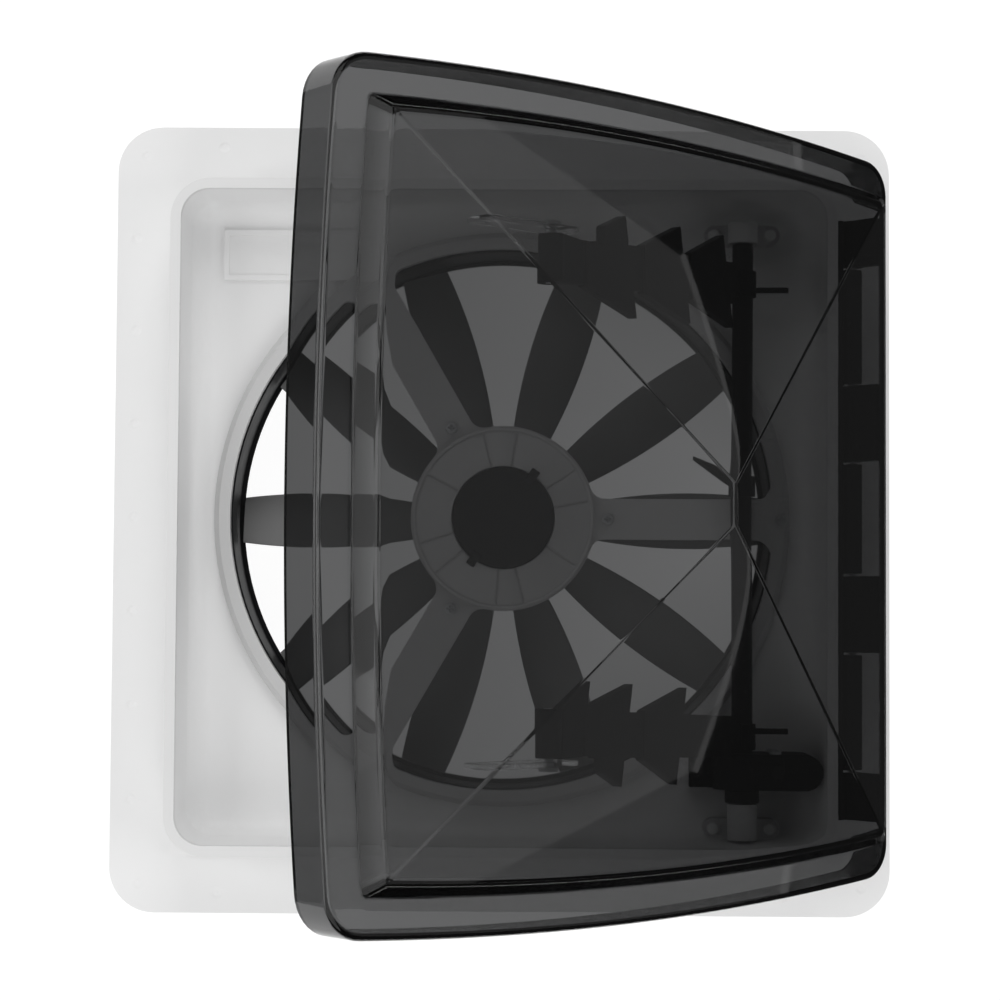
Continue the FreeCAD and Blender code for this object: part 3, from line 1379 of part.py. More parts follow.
def make_crank():
    """Spindle with its worm, the bush in the tray floor, the fluted knob below and the knob's screw."""
    top = SHAFT_Z + S.case_rise
    node("crank_spindle", cylinder(S.spindle_radius, top - KNOB_TOP, (CRANK_X, GEAR_Y, KNOB_TOP)))
    bore = S.spindle_radius + S.running_fit
    lip = S.crank_bush_radius + S.crank_bush_lip
    node("crank_bush", turned([
        (bore, S.flange_thickness),
        (S.crank_bush_radius, S.flange_thickness),
        (S.crank_bush_radius, FLOOR_TOP),
        (lip, FLOOR_TOP),
        (lip, BRACKET_BOTTOM),
        (bore, BRACKET_BOTTOM),
    ], (CRANK_X, GEAR_Y, 0.0)))
    worm_low = SHAFT_Z - S.worm_length / 2
    profile = [(S.spindle_radius, 0.0), (S.worm_radius, 0.0)]
    for step in range(WORM_GROOVES):
        level = S.worm_length * (step + 1) / (WORM_GROOVES + 1)
        profile.append((S.worm_radius, level - S.worm_groove))
        profile.append((S.worm_radius - S.worm_groove, level))
        profile.append((S.worm_radius, level + S.worm_groove))
    profile.append((S.worm_radius, S.worm_length))
    profile.append((S.spindle_radius, S.worm_length))
    node("worm", turned(profile, (CRANK_X, GEAR_Y, worm_low)))
    knob = cylinder(S.knob_radius, S.knob_height, (CRANK_X, GEAR_Y, KNOB_BOTTOM))
    tools = [cylinder(S.screw_radius, S.knob_height, (CRANK_X, GEAR_Y, KNOB_BOTTOM)),
             cylinder(S.screw_head_radius, S.screw_head_height, (CRANK_X, GEAR_Y, KNOB_BOTTOM))]
    for flute in range(KNOB_FLUTES):
        x, y = polar(S.knob_radius + S.knob_flute_radius / 2, 360 * flute / KNOB_FLUTES)
        tools.append(cylinder(S.knob_flute_radius, S.knob_height, (CRANK_X + x, GEAR_Y + y, KNOB_BOTTOM)))
    node("crank_knob", cut(knob, *tools))
    node("knob_screw", fuse(
        cylinder(S.screw_head_radius, S.screw_head_height, (CRANK_X, GEAR_Y, KNOB_BOTTOM)),
        cylinder(S.screw_radius, S.knob_height, (CRANK_X, GEAR_Y, KNOB_BOTTOM)),
    ))


def check_model():
    """Stops with a message if any object failed to build."""
    doc.recompute()
    for item in doc.Objects:
        if any(word in item.State for word in ("Invalid", "Error")):
            raise RuntimeError(f"{item.Name} ({item.Label}) failed: {item.State}")
    for label, item in nodes.items():
        if item.Shape.isNull() or not item.Shape.isValid() or not item.Shape.Solids:
            raise RuntimeError(f"{label} has no valid solid")


def main():
    """Builds every sub-part and writes each to its own file."""
    make_roof_base()
    tray = make_well_tray()
    make_fan_ring()
    make_motor_bracket()
    make_bracket_fasteners()
    make_motor()
    make_impeller()
    make_fan_drive()
    make_hinge()
    make_lid()
    make_lid_knuckles()
    make_rails()
    make_lift()
    make_shaft_brackets(tray)
    make_gear_case(tray)
    make_crank()
    check_model()
    os.makedirs("parts", exist_ok=True)
    for label, item in nodes.items():
        item.Shape.exportStep(f"parts/{label}.step")
        print(label, len(item.Shape.Solids), "solids", round(item.Shape.Volume / 1000, 2), "cm3")
    print("arm angles", round(ARM_CLOSED, 2), round(ARM_OPEN, 2), "pins", round(PIN_CLOSED, 2), round(PIN_OPEN, 2))


main()
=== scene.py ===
"""Looks of a camper roof vent: white flanged base, ten-blade fan and a smoked lid on lift arms."""
import json
import logging
import math
from dataclasses import dataclass, replace
from enum import Enum
from typing import Any, Optional, Sequence, Union

import bmesh
import bpy
import numpy as np
from mathutils import Matrix, Vector


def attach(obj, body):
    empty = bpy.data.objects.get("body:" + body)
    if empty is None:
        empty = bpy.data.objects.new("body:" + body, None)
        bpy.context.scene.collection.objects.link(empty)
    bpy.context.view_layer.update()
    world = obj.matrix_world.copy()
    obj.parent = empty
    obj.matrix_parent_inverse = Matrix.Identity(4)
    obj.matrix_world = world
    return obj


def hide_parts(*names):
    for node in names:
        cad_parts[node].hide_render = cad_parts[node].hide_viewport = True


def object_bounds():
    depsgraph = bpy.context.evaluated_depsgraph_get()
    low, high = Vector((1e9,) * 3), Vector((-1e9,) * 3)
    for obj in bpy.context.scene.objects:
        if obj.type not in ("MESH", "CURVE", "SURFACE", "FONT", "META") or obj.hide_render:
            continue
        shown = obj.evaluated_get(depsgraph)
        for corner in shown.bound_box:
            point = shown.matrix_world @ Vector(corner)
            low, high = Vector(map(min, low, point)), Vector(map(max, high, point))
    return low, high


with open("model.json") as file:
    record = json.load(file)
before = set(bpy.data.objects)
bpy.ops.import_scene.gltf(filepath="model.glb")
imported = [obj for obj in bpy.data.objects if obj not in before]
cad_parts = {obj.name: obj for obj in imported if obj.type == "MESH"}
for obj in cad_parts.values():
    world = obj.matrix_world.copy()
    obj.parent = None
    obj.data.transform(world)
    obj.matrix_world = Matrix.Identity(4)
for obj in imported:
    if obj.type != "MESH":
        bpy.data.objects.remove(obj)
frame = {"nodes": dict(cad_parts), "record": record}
CAD_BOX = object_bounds()

LOG = logging.getLogger("roof_vent")
MM = 0.001
# Points closer than this are merged, in a mesh made here and in a solid of the frame, in millimetres.
MERGE_MM = 0.002
SOLID_MERGE_MM = 0.003
# Faces of a solid that turn less than this are joined.
FLAT_DEGREES = 0.3
# Top of the tray's rim, and how far down its band of painted shade and its broad round reach, in millimetres.
RIM_LEVEL = 40.0
RIM_SHADE_BAND = 2.7
RIM_ROUND_DEPTH = 1.0
# Numbers of the sockets that a Mix node uses for colours.
MIX_FACTOR, MIX_LOW, MIX_HIGH, MIX_RESULT = 0, 6, 7, 2
# Angles along a rounded edge.
QUARTER_TURN = np.radians(np.linspace(0, 90, 6))

Triple = tuple[float, float, float]
Colour = Triple
Array = np.ndarray


class Axis(Enum):
    """Directions that a row of screws can point in."""

    X = 0
    Y = 1
    Z = 2


class Shade:
    """A number in a material's graph. Arithmetic on it adds Math nodes."""

    def __init__(self, graph: "Graph", socket: bpy.types.NodeSocket) -> None:
        """Wraps one output socket of a graph."""
        self.graph = graph
        self.socket = socket

    def _math(self, operation: str, first: Any, second: Any) -> "Shade":
        """Adds one Math node on two values."""
        return self.graph.add("ShaderNodeMath", {"operation": operation}, {0: first, 1: second})

    def __add__(self, other: Any) -> "Shade":
        """Sum."""
        return self._math("ADD", self, other)

    def __radd__(self, other: Any) -> "Shade":
        """Sum, with a plain number first."""
        return self._math("ADD", other, self)

    def __sub__(self, other: Any) -> "Shade":
        """Difference."""
        return self._math("SUBTRACT", self, other)

    def __rsub__(self, other: Any) -> "Shade":
        """Difference, with a plain number first."""
        return self._math("SUBTRACT", other, self)

    def __mul__(self, other: Any) -> "Shade":
        """Product."""
        return self._math("MULTIPLY", self, other)

    def __rmul__(self, other: Any) -> "Shade":
        """Product, with a plain number first."""
        return self._math("MULTIPLY", other, self)

    def largest(self, other: Any) -> "Shade":
        """The larger of two values."""
        return self._math("MAXIMUM", self, other)


class Graph:
    """The node graph of one material or of the world."""

    def __init__(self, tree: bpy.types.NodeTree) -> None:
        """Empties a node tree and keeps it."""
        tree.nodes.clear()
        self.tree = tree

    def add(self, kind: str, settings: Optional[dict[str, Any]] = None,
            inputs: Optional[dict[Union[int, str], Any]] = None, output: Union[int, str] = 0) -> Shade:
        """Adds any node.

        Args:
            kind: the node's type name.
            settings: properties of the node, which are set first.
            inputs: socket names or numbers with their values or links.
            output: which output to hand back.

        Returns:
            The wrapped output socket.
        """
        node = self.tree.nodes.new(kind)
        for key, value in (settings or {}).items():
            setattr(node, key, value)
        for key, value in (inputs or {}).items():
            if isinstance(value, Shade):
                self.tree.links.new(value.socket, node.inputs[key])
            else:
                node.inputs[key].default_value = value
        return Shade(self, node.outputs[output]) if node.outputs else Shade(self, None)

    def noise(self, where: Shade, size_mm: float, detail: float = 2.0) -> Shade:
        """Noise whose blotches are about size_mm across."""
        return self.add("ShaderNodeTexNoise", None,
                        {"Vector": where, "Scale": 1.0 / (size_mm * MM), "Detail": detail}, "Fac")

    def place(self) -> Shade:
        """Object coordinates, which are metres in the part's own frame."""
        return self.add("ShaderNodeTexCoord", None, None, "Object")

    def blend(self, amount: Shade, low: Colour, high: Colour) -> Shade:
        """A colour between two, by an amount from 0 to 1."""
        return self.add("ShaderNodeMix", {"data_type": "RGBA"},
                        {MIX_FACTOR: amount, MIX_LOW: (*low, 1.0), MIX_HIGH: (*high, 1.0)}, MIX_RESULT)


def scaled(colour: Colour, factor: float) -> Colour:
    """A colour, lighter or darker by a factor."""
    return tuple(min(1.0, channel * factor) for channel in colour)


def blank_material(name: str) -> tuple[bpy.types.Material, Graph]:
    """A new material with an empty graph."""
    material = bpy.data.materials.new(name)
    material.use_nodes = True
    return material, Graph(material.node_tree)


@dataclass(frozen=True)
class Moulded:
    """Moulded plastic: a grained skin, faint flow marks and uneven gloss.

    Colour = base colour lightened and darkened by a broad noise, and darker above a level where one is given,
    which is painted shade.
    Relief = fine grain. Roughness = base plus patches plus grain.
    """

    name: str
    slot: str
    colour: Colour
    roughness: float = 0.42
    uneven: float = 0.10
    mottle: float = 0.04
    grain_mm: float = 0.9
    relief_mm: float = 0.02
    flow_mm: float = 45.0
    patch_share: float = 0.25
    bump_strength: float = 0.6
    specular: float = 0.5
    shade_above_mm: Optional[float] = None
    shade_share: float = 0.11
    fade_mm: float = 0.5

    def make(self) -> bpy.types.Material:
        """Builds the material."""
        material, graph = blank_material(self.name)
        where = graph.place()
        flow = graph.noise(where, self.flow_mm, 3.0)
        grain = graph.noise(where, self.grain_mm)
        gloss = graph.noise(where, self.flow_mm * self.patch_share)
        shade = flow
        darkest = scaled(self.colour, 1 - self.mottle)
        # Above the level the colour is darker: painted shade, as on the tray's rim.
        if self.shade_above_mm is not None:
            darkest = scaled(self.colour, 1 - self.shade_share)
            level = graph.add("ShaderNodeSeparateXYZ", None, {"Vector": where}, "Z")
            low, high = self.shade_above_mm * MM, (self.shade_above_mm + self.fade_mm) * MM
            span = {"From Min": low, "From Max": high, "To Min": 1.0, "To Max": 0.0}
            below = graph.add("ShaderNodeMapRange", None, {"Value": level, **span})
            shade = below * (1 - self.mottle / self.shade_share * (1 - flow))
        colour = graph.blend(shade, darkest, scaled(self.colour, 1 + self.mottle))
        roughness = self.roughness + (gloss - 0.5) * self.uneven + (grain - 0.5) * (self.uneven / 2)
        bump = graph.add("ShaderNodeBump", None,
                         {"Height": grain, "Distance": self.relief_mm * MM, "Strength": self.bump_strength})
        surface = graph.add("ShaderNodeBsdfPrincipled", None,
                            {"Base Color": colour, "Roughness": roughness, "Normal": bump,
                             "Specular IOR Level": self.specular})
        graph.add("ShaderNodeOutputMaterial", None, {"Surface": surface})
        return material


@dataclass(frozen=True)
class Metal:
    """Metal with fine drawn streaks along one axis and a patchy shine.

    Relief = noise stretched along the streaks. Roughness = base plus patches plus streaks.
    """

    name: str
    slot: str
    colour: Colour
    roughness: float = 0.32
    metallic: float = 1.0
    streak: Triple = (1.0, 1.0, 0.05)
    streak_mm: float = 0.5
    patch_mm: float = 6.0
    specular: float = 0.5
    darkest: float = 0.85
    lightest: float = 1.12
    patch_gloss: float = 0.16
    streak_gloss: float = 0.18
    relief_mm: float = 0.01
    bump_strength: float = 0.5

    def make(self) -> bpy.types.Material:
        """Builds the material."""
        material, graph = blank_material(self.name)
        where = graph.place()
        stretched = graph.add("ShaderNodeMapping", None, {"Vector": where, "Scale": self.streak})
        streaks = graph.noise(stretched, self.streak_mm, 3.0)
        patches = graph.noise(where, self.patch_mm, 3.0)
        colour = graph.blend(patches, scaled(self.colour, self.darkest), scaled(self.colour, self.lightest))
        roughness = self.roughness + (patches - 0.5) * self.patch_gloss + (streaks - 0.5) * self.streak_gloss
        bump = graph.add("ShaderNodeBump", None,
                         {"Height": streaks, "Distance": self.relief_mm * MM, "Strength": self.bump_strength})
        surface = graph.add("ShaderNodeBsdfPrincipled", None,
                            {"Base Color": colour, "Roughness": roughness, "Metallic": self.metallic,
                             "Normal": bump, "Specular IOR Level": self.specular})
        graph.add("ShaderNodeOutputMaterial", None, {"Surface": surface})
        return material


@dataclass(frozen=True)
class Smoked:
    """Smoked or clear plastic: polished faces that bend light, and a grey that deepens with thickness.

    Roughness = base varied by a broad noise, as wiping leaves it.
    """

    name: str
    slot: str
    density: float = 700.0
    tint: Colour = (0.0, 0.004, 0.01)
    roughness: float = 0.02
    bending: float = 1.49
    wipe_mm: float = 60.0

    def make(self) -> bpy.types.Material:
        """Builds the material."""
        material, graph = blank_material(self.name)
        where = graph.place()
        wipe = graph.noise(where, self.wipe_mm, 4.0)
        roughness = self.roughness * (0.5 + wipe)
        surface = graph.add("ShaderNodeBsdfPrincipled", None,
                            {"Base Color": (1.0, 1.0, 1.0, 1.0), "Roughness": roughness, "IOR": self.bending,
                             "Transmission Weight": 1.0})
        volume = graph.add("ShaderNodeVolumeAbsorption", None,
                           {"Color": (*self.tint, 1.0), "Density": self.density})
        graph.add("ShaderNodeOutputMaterial", None, {"Surface": surface, "Volume": volume})
        return material


Finish = Union[Moulded, Metal, Smoked]

WHITE = Moulded("white_moulding", "white_plastic", (0.80, 0.80, 0.80), 0.40, 0.10, 0.012)
GREY = Moulded("pale_grey_moulding", "light_grey_plastic", (0.52, 0.52, 0.52), 0.45, 0.12, 0.02)
BLADE = Moulded("blade_grey", "dark_grey_plastic", (0.18, 0.18, 0.18), 0.5, 0.16, 0.05, specular=0.3)
BLACK = Moulded("black_moulding", "black_plastic", (0.010, 0.0102, 0.011), 0.55, 0.14, 0.15, specular=0.12)
SMOKE = Smoked("smoked_clear", "smoked_acrylic")
CLEAR = Smoked("clear_moulding", "clear_plastic", 10.0, (0.7, 0.7, 0.7), roughness=0.0, bending=1.03)
# The tray's white plastic, darker along the top of the rim: painted shade.
RIM_SHADED = replace(WHITE, name="white_moulding_rim_shade", shade_above_mm=RIM_LEVEL - RIM_SHADE_BAND)
# A darker copy of the white plastic for the shaft brackets: painted shade.
SHADED_WHITE = Moulded("white_moulding_painted_shade", "white_plastic", (0.54, 0.54, 0.54), 0.45, 0.10, 0.02)
STEEL = Metal("zinc_steel", "steel", (0.62, 0.63, 0.64), 0.45, 0.5)
BLACKENED = Metal("blackened_steel", "steel", (0.02, 0.02, 0.021), 0.5, 0.0, specular=0.2)
COATED = Metal("black_coat", "dark_metal", (0.014, 0.014, 0.015), 0.45, 0.0, specular=0.2)
IRON = Metal("core_iron", "core_iron", (0.20, 0.19, 0.18), 0.55, 1.0, (0.05, 0.05, 1.0))
BRONZE = Metal("sintered_bronze", "bronze", (0.55, 0.40, 0.20), 0.45)
FINISHES: dict[str, Finish] = {
    finish.slot: finish for finish in (WHITE, GREY, BLADE, BLACK, SMOKE, CLEAR, STEEL, COATED, IRON, BRONZE)
}
OWN_FINISHES: dict[str, Finish] = {
    "well_tray": RIM_SHADED,
    "crank_spindle": BLACKENED,
    "shaft_bracket_upper": SHADED_WHITE,
    "shaft_bracket_lower": SHADED_WHITE,
}
MATERIALS: dict[str, bpy.types.Material] = {}


def material_of(finish: Finish) -> bpy.types.Material:
    """The one material of a finish, made when first asked for."""
    if finish.name not in MATERIALS:
        MATERIALS[finish.name] = finish.make()
    return MATERIALS[finish.name]


def node_finish(node: str) -> Finish:
    """A node's own finish, or else that of its material slot in the record."""
    slot = next(part["material_slot"] for part in frame["record"]["subparts"] if part["node"] == node)
    return OWN_FINISHES.get(node, FINISHES[slot])


def node_points(node: str) -> Array:
    """Corners of a node's solid, in millimetres."""
    mesh = frame["nodes"][node].data
    points = np.empty(len(mesh.vertices) * 3, np.float32)
    mesh.vertices.foreach_get("co", points)
    return points.reshape(-1, 3) / MM


def node_body(node: str) -> str:
    """The body that a node moves with."""
    bodies = frame["record"]["behaviour"]["bodies"]
    return next(body for body, members in bodies.items() if node in members)


def grid_faces(rows: int, columns: int, wrap_rows: bool = False, wrap_columns: bool = True) -> Array:
    """Quads of a grid of points.

    Args:
        rows: number of rows of points.
        columns: number of points in each row.
        wrap_rows: whether the last row joins the first.
        wrap_columns: whether the last point of a row joins its first.

    Returns:
        Corner numbers, four to a quad.
    """
    row = np.arange(rows if wrap_rows else rows - 1)[:, None]
    column = np.arange(columns if wrap_columns else columns - 1)[None, :]
    next_row = (row + 1) % rows
    next_column = (column + 1) % columns
    corners = (row * columns + column, row * columns + next_column,
               next_row * columns + next_column, next_row * columns + column)
    return np.stack([c.ravel() for c in np.broadcast_arrays(*corners)], axis=1)


def mesh_piece(name: str, points: Array, faces: Sequence[Sequence[int]], finish: Finish,
               sharp_degrees: float = 35.0) -> bpy.types.Object:
    """Makes an object of points in millimetres, merges its poles and seams and turns its faces outwards.

    Args:
        name: the piece's name.
        points: corners, in millimetres.
        faces: corner numbers of each face.
        finish: its finish.
        sharp_degrees: edges that turn more than this stay sharp.

    Returns:
        The new object.
    """
    mesh = bpy.data.meshes.new(name)
    mesh.from_pydata((points * MM).tolist(), [], [list(map(int, face)) for face in faces])
    work = bmesh.new()
    work.from_mesh(mesh)
    bmesh.ops.remove_doubles(work, verts=work.verts, dist=MERGE_MM * MM)
    bmesh.ops.recalc_face_normals(work, faces=work.faces)
    work.to_mesh(mesh)
    work.free()
    return finish_object(name, mesh, finish, sharp_degrees)


def finish_object(name: str, mesh: bpy.types.Mesh, finish: Finish,
                  sharp_degrees: float) -> bpy.types.Object:
    """Smooths a mesh up to an angle, gives it its finish and puts it in the scene."""
    mesh.shade_smooth()
    mesh.set_sharp_from_angle(angle=math.radians(sharp_degrees))
    mesh.materials.clear()
    mesh.materials.append(material_of(finish))
    piece = bpy.data.objects.new(name, mesh)
    bpy.context.scene.collection.objects.link(piece)
    return piece


def settle(piece: bpy.types.Object, finish: Finish, *nodes: str) -> bpy.types.Object:
    """Makes a piece stand for its nodes, on their body."""
    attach(piece, node_body(nodes[0]))
    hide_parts(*nodes)
    LOG.info("%s stands for %s", piece.name, ", ".join(nodes))
    return piece


def even_normals(piece: bpy.types.Object) -> None:
    """Keeps broad faces flat in the shading next to rounded edges."""
    modifier = piece.modifiers.new("EvenNormals", "WEIGHTED_NORMAL")
    modifier.keep_sharp = True


@dataclass
class SoftEdged:
    """A solid of the frame with its sharp edges eased, as a moulding or a machined piece has them."""

    node: str
    width_mm: float
    segments: int = 2
    crease_degrees: float = 38.0
    shortest_mm: float = 0.0
    broad_above_mm: float = -math.inf
    narrow_share: float = 1.0

    def weigh_edges(self, work: bmesh.types.BMesh) -> None:
        """Marks the edges to ease: those that turn sharply and aren't the short ones round a small hole.

        Edges below the broad level are eased by a share of the width.
        """
        weight = work.edges.layers.float.new("bevel_weight_edge")
        limit = math.radians(self.crease_degrees)
        for edge in work.edges:
            sharp = len(edge.link_faces) == 2 and edge.calc_face_angle(0.0) > limit
            eased = sharp and edge.calc_length() > self.shortest_mm * MM
            broad = min(corner.co.z for corner in edge.verts) > self.broad_above_mm * MM
            edge[weight] = float(eased) * (1.0 if broad else self.narrow_share)

    def build(self) -> bpy.types.Object:
        """Copies the solid, joins its loose triangles and eases its edges with a bevel.

        Returns:
            The piece that stands for the node.
        """
        finish = node_finish(self.node)
        mesh = frame["nodes"][self.node].data.copy()
        work = bmesh.new()
        work.from_mesh(mesh)
        bmesh.ops.remove_doubles(work, verts=work.verts, dist=SOLID_MERGE_MM * MM)
        bmesh.ops.dissolve_limit(work, angle_limit=math.radians(FLAT_DEGREES), verts=work.verts,
                                 edges=work.edges)
        self.weigh_edges(work)
        work.to_mesh(mesh)
        work.free()
        piece = finish_object(f"{self.node}_eased", mesh, finish, self.crease_degrees)
        bevel = piece.modifiers.new("EasedEdges", "BEVEL")
        bevel.width = self.width_mm * MM
        bevel.segments = self.segments
        bevel.limit_method = "WEIGHT"
        bevel.use_clamp_overlap = True
        even_normals(piece)
        return settle(piece, finish, self.node)


@dataclass
class ScrewSet:
    """Pan-head screws with a cross recess, one for each solid of a node."""

    node: str
    axis: Axis
    sign: int = 1
    head_height: float = 1.8
    recess_half: float = 0.55
    recess_reach: float = 1.9
    recess_depth: float = 1.1
    recess_slope: float = 0.25
    recess_end_slope: float = 0.4
    crown: float = 0.12
    roll_from: float = 0.72
    roll_depth: float = 0.5
    shank_share: float = 0.4
    ring_spacing: float = 0.8
    around: int = 48
    across: int = 16

    def solids(self) -> list[tuple[Array, Array]]:
        """Lowest and highest corners of each separate solid, found by spreading labels over its triangles.

        Returns:
            Pairs of corners, in millimetres.
        """
        mesh = frame["nodes"][self.node].data
        points = node_points(self.node)
        mesh.calc_loop_triangles()
        triangles = np.empty(len(mesh.loop_triangles) * 3, np.int32)
        mesh.loop_triangles.foreach_get("vertices", triangles)
        _, same = np.unique(np.round(points, 2), axis=0, return_inverse=True)
        corners = same.ravel()[triangles.reshape(-1, 3)]
        labels = np.arange(corners.max() + 1)
        before = None
        while before is None or (labels != before).any():
            before = labels.copy()
            lowest = labels[corners].min(axis=1)
            for corner in range(3):
                np.minimum.at(labels, corners[:, corner], lowest)
        owner = labels[same.ravel()]
        return [(points[owner == label].min(axis=0), points[owner == label].max(axis=0))
                for label in np.unique(owner)]

    def head(self, radius: float) -> Array:
        """Points of one head, on polar rings.

        The top is a shallow dome, height = full height less a share of radius squared, with its edge rolled
        over as a quarter circle. The cross is taken out where a point is near either of two lines.

        Args:
            radius: the head's radius in millimetres.

        Returns:
            Rings of points, from the middle out and then down the side.
        """
        angle = np.linspace(0, 2 * np.pi, self.around, endpoint=False)[None, :]
        share = np.linspace(0, 1, self.across)[:, None] ** self.ring_spacing
        reach = radius * share
        x = reach * np.cos(angle)
        y = reach * np.sin(angle)
        edge = np.clip((share - self.roll_from) / (1 - self.roll_from), 0, 1)
        roll = self.roll_depth * (1 - np.sqrt(1 - edge ** 2))
        dome = self.head_height * (1 - self.crown * share ** 2) - roll
        near_line = np.minimum(np.abs(x), np.abs(y))
        along = np.maximum(np.abs(x), np.abs(y))
        inside = np.clip((self.recess_half - near_line) / self.recess_slope, 0, 1)
        inside = inside * np.clip((self.recess_reach - along) / self.recess_end_slope, 0, 1)
        top = dome - self.recess_depth * inside
        rings = np.stack([x, y, np.broadcast_to(top, x.shape)], axis=2)
        foot = rings[-1].copy()
        foot[:, 2] = 0.0
        middle = foot * [self.shank_share, self.shank_share, 1.0]
        return np.concatenate([rings, foot[None], middle[None]])

    def build(self) -> bpy.types.Object:
        """Sets a head and a shank at each solid of the node.

        Returns:
            The piece that stands for the node.
        """
        finish = node_finish(self.node)
        points: list[Array] = []
        faces: list[Array] = []
        start = 0
        axis = self.axis.value
        order = {Axis.X: (2, 0, 1), Axis.Y: (1, 2, 0), Axis.Z: (0, 1, 2)}[self.axis]
        for low, high in self.solids():
            radius = float(np.delete(high - low, axis).min()) / 2
            length = float(high[axis] - low[axis])
            head = self.head(radius)
            shank = head[-1] * [1.0, 1.0, 0.0]
            shank[:, 2] = self.head_height - length
            tip = shank * [0.0, 0.0, 1.0]
            rings = np.concatenate([head, shank[None], tip[None]])
            turned = rings.copy()
            for target, source in enumerate(order):
                turned[:, :, target] = rings[:, :, source]
            seat = (low + high) / 2
            turned[:, :, axis] *= self.sign
            seat[axis] = high[axis] - self.head_height if self.sign > 0 else low[axis] + self.head_height
            points.append((turned + seat).reshape(-1, 3))
            faces.append(grid_faces(len(rings), self.around) + start)
            start += rings.shape[0] * rings.shape[1]
        piece = mesh_piece(f"{self.node}_cross", np.concatenate(points), np.concatenate(faces), finish,
                           sharp_degrees=30.0)
        return settle(piece, finish, self.node)


@dataclass
class Impeller:
    """Fan: a hub cup and ten cambered blades set at a pitch."""

    blades: int = 10
    hub_radius: float = 46.0
    hub_wall: float = 2.5
    hub_top: float = -16.0
    hub_bottom: float = -32.0
    hub_round: float = 2.0
    hub_foot_round: float = 0.5
    top_ring: float = 16.0
    boss_radius: float = 9.0
    bore: float = 3.05
    tip_radius: float = 145.5
    root_half: float = 10.5
    middle_half: float = 17.0
    tip_half: float = 14.3
    thickness: float = 2.4
    camber: float = 1.6
    pitch_degrees: float = 25.0
    chord_power: float = 0.8
    rise_power: float = 0.7
    blade_rows: int = 28
    blade_columns: int = 36
    around: int = 120

    @property
    def root(self) -> float:
        """Where a blade starts, in the middle of the hub's wall."""
        return self.hub_radius - self.hub_wall / 2

    def half_width(self, reach: Array) -> Array:
        """Half of the blade's width: a parabola through the half widths of root, middle and tip."""
        share = (reach - self.root) / (self.tip_radius - self.root)
        bow = self.middle_half - (self.root_half + self.tip_half) / 2
        return self.root_half + (self.tip_half - self.root_half) * share + 4 * bow * share * (1 - share)

    def blade(self, number: int) -> tuple[Array, Array]:
        """One blade: an elliptic section on a cambered chord, carried from root to tip and pitched.

        Args:
            number: which blade, from 0.

        Returns:
            Points and quads.
        """
        reach = np.linspace(self.root, self.tip_radius, self.blade_rows)[:, None]
        turn = np.linspace(0, 2 * np.pi, self.blade_columns, endpoint=False)[None, :]
        half = self.half_width(reach)
        chord = half * np.sign(np.cos(turn)) * np.abs(np.cos(turn)) ** self.chord_power
        lift = self.camber * (1 - (chord / half) ** 2) - self.camber / 2
        rise = self.thickness / 2 * np.sign(np.sin(turn)) * np.abs(np.sin(turn)) ** self.rise_power + lift
        pitch = math.radians(self.pitch_degrees)
        across = chord * math.cos(pitch) - rise * math.sin(pitch)
        level = chord * math.sin(pitch) + rise * math.cos(pitch) + (self.hub_top + self.hub_bottom) / 2
        along = np.broadcast_to(reach, across.shape)
        spin = 2 * math.pi * number / self.blades
        points = np.stack([along * math.cos(spin) - across * math.sin(spin),
                           along * math.sin(spin) + across * math.cos(spin), level], axis=2)
        ends = points[[0, -1]].mean(axis=1, keepdims=True)
        caps = np.broadcast_to(ends, (2, points.shape[1], 3))
        points = np.concatenate([caps[:1], points, caps[1:]])
        return points.reshape(-1, 3), grid_faces(points.shape[0], points.shape[1])

    def hub(self) -> tuple[Array, Array]:
        """The cup: a wall profile with eased corners, turned about the fan's axis.

        Returns:
            Points and quads.
        """
        ease = self.hub_round
        outer = np.stack([self.hub_radius - ease + ease * np.cos(QUARTER_TURN),
                          self.hub_top - ease + ease * np.sin(QUARTER_TURN)], axis=1)
        skin = self.hub_radius - self.hub_wall
        under = self.hub_top - self.hub_wall
        profile = np.concatenate([
            [[self.bore, self.hub_bottom], [self.boss_radius, self.hub_bottom], [self.boss_radius, under],
             [skin, under], [skin, self.hub_bottom], [self.hub_radius - self.hub_foot_round, self.hub_bottom],
             [self.hub_radius, self.hub_bottom + self.hub_foot_round]],
            outer,
            [[self.top_ring, self.hub_top], [self.bore, self.hub_top]],
        ])
        angle = np.linspace(0, 2 * np.pi, self.around, endpoint=False)[None, :]
        points = np.stack([profile[:, :1] * np.cos(angle), profile[:, :1] * np.sin(angle),
                           np.broadcast_to(profile[:, 1:], (len(profile), self.around))], axis=2)
        return points.reshape(-1, 3), grid_faces(len(profile), self.around, wrap_rows=True)

    def build(self) -> bpy.types.Object:
        """Joins the hub and the blades into one piece."""
        shapes = [self.hub()] + [self.blade(number) for number in range(self.blades)]
        starts = np.cumsum([0] + [len(points) for points, _ in shapes])
        faces = [quads + start for (_, quads), start in zip(shapes, starts)]
        points = np.concatenate([points for points, _ in shapes])
        piece = mesh_piece("fan_blades", points, np.concatenate(faces), BLADE, sharp_degrees=40.0)
        return settle(piece, BLADE, "impeller")


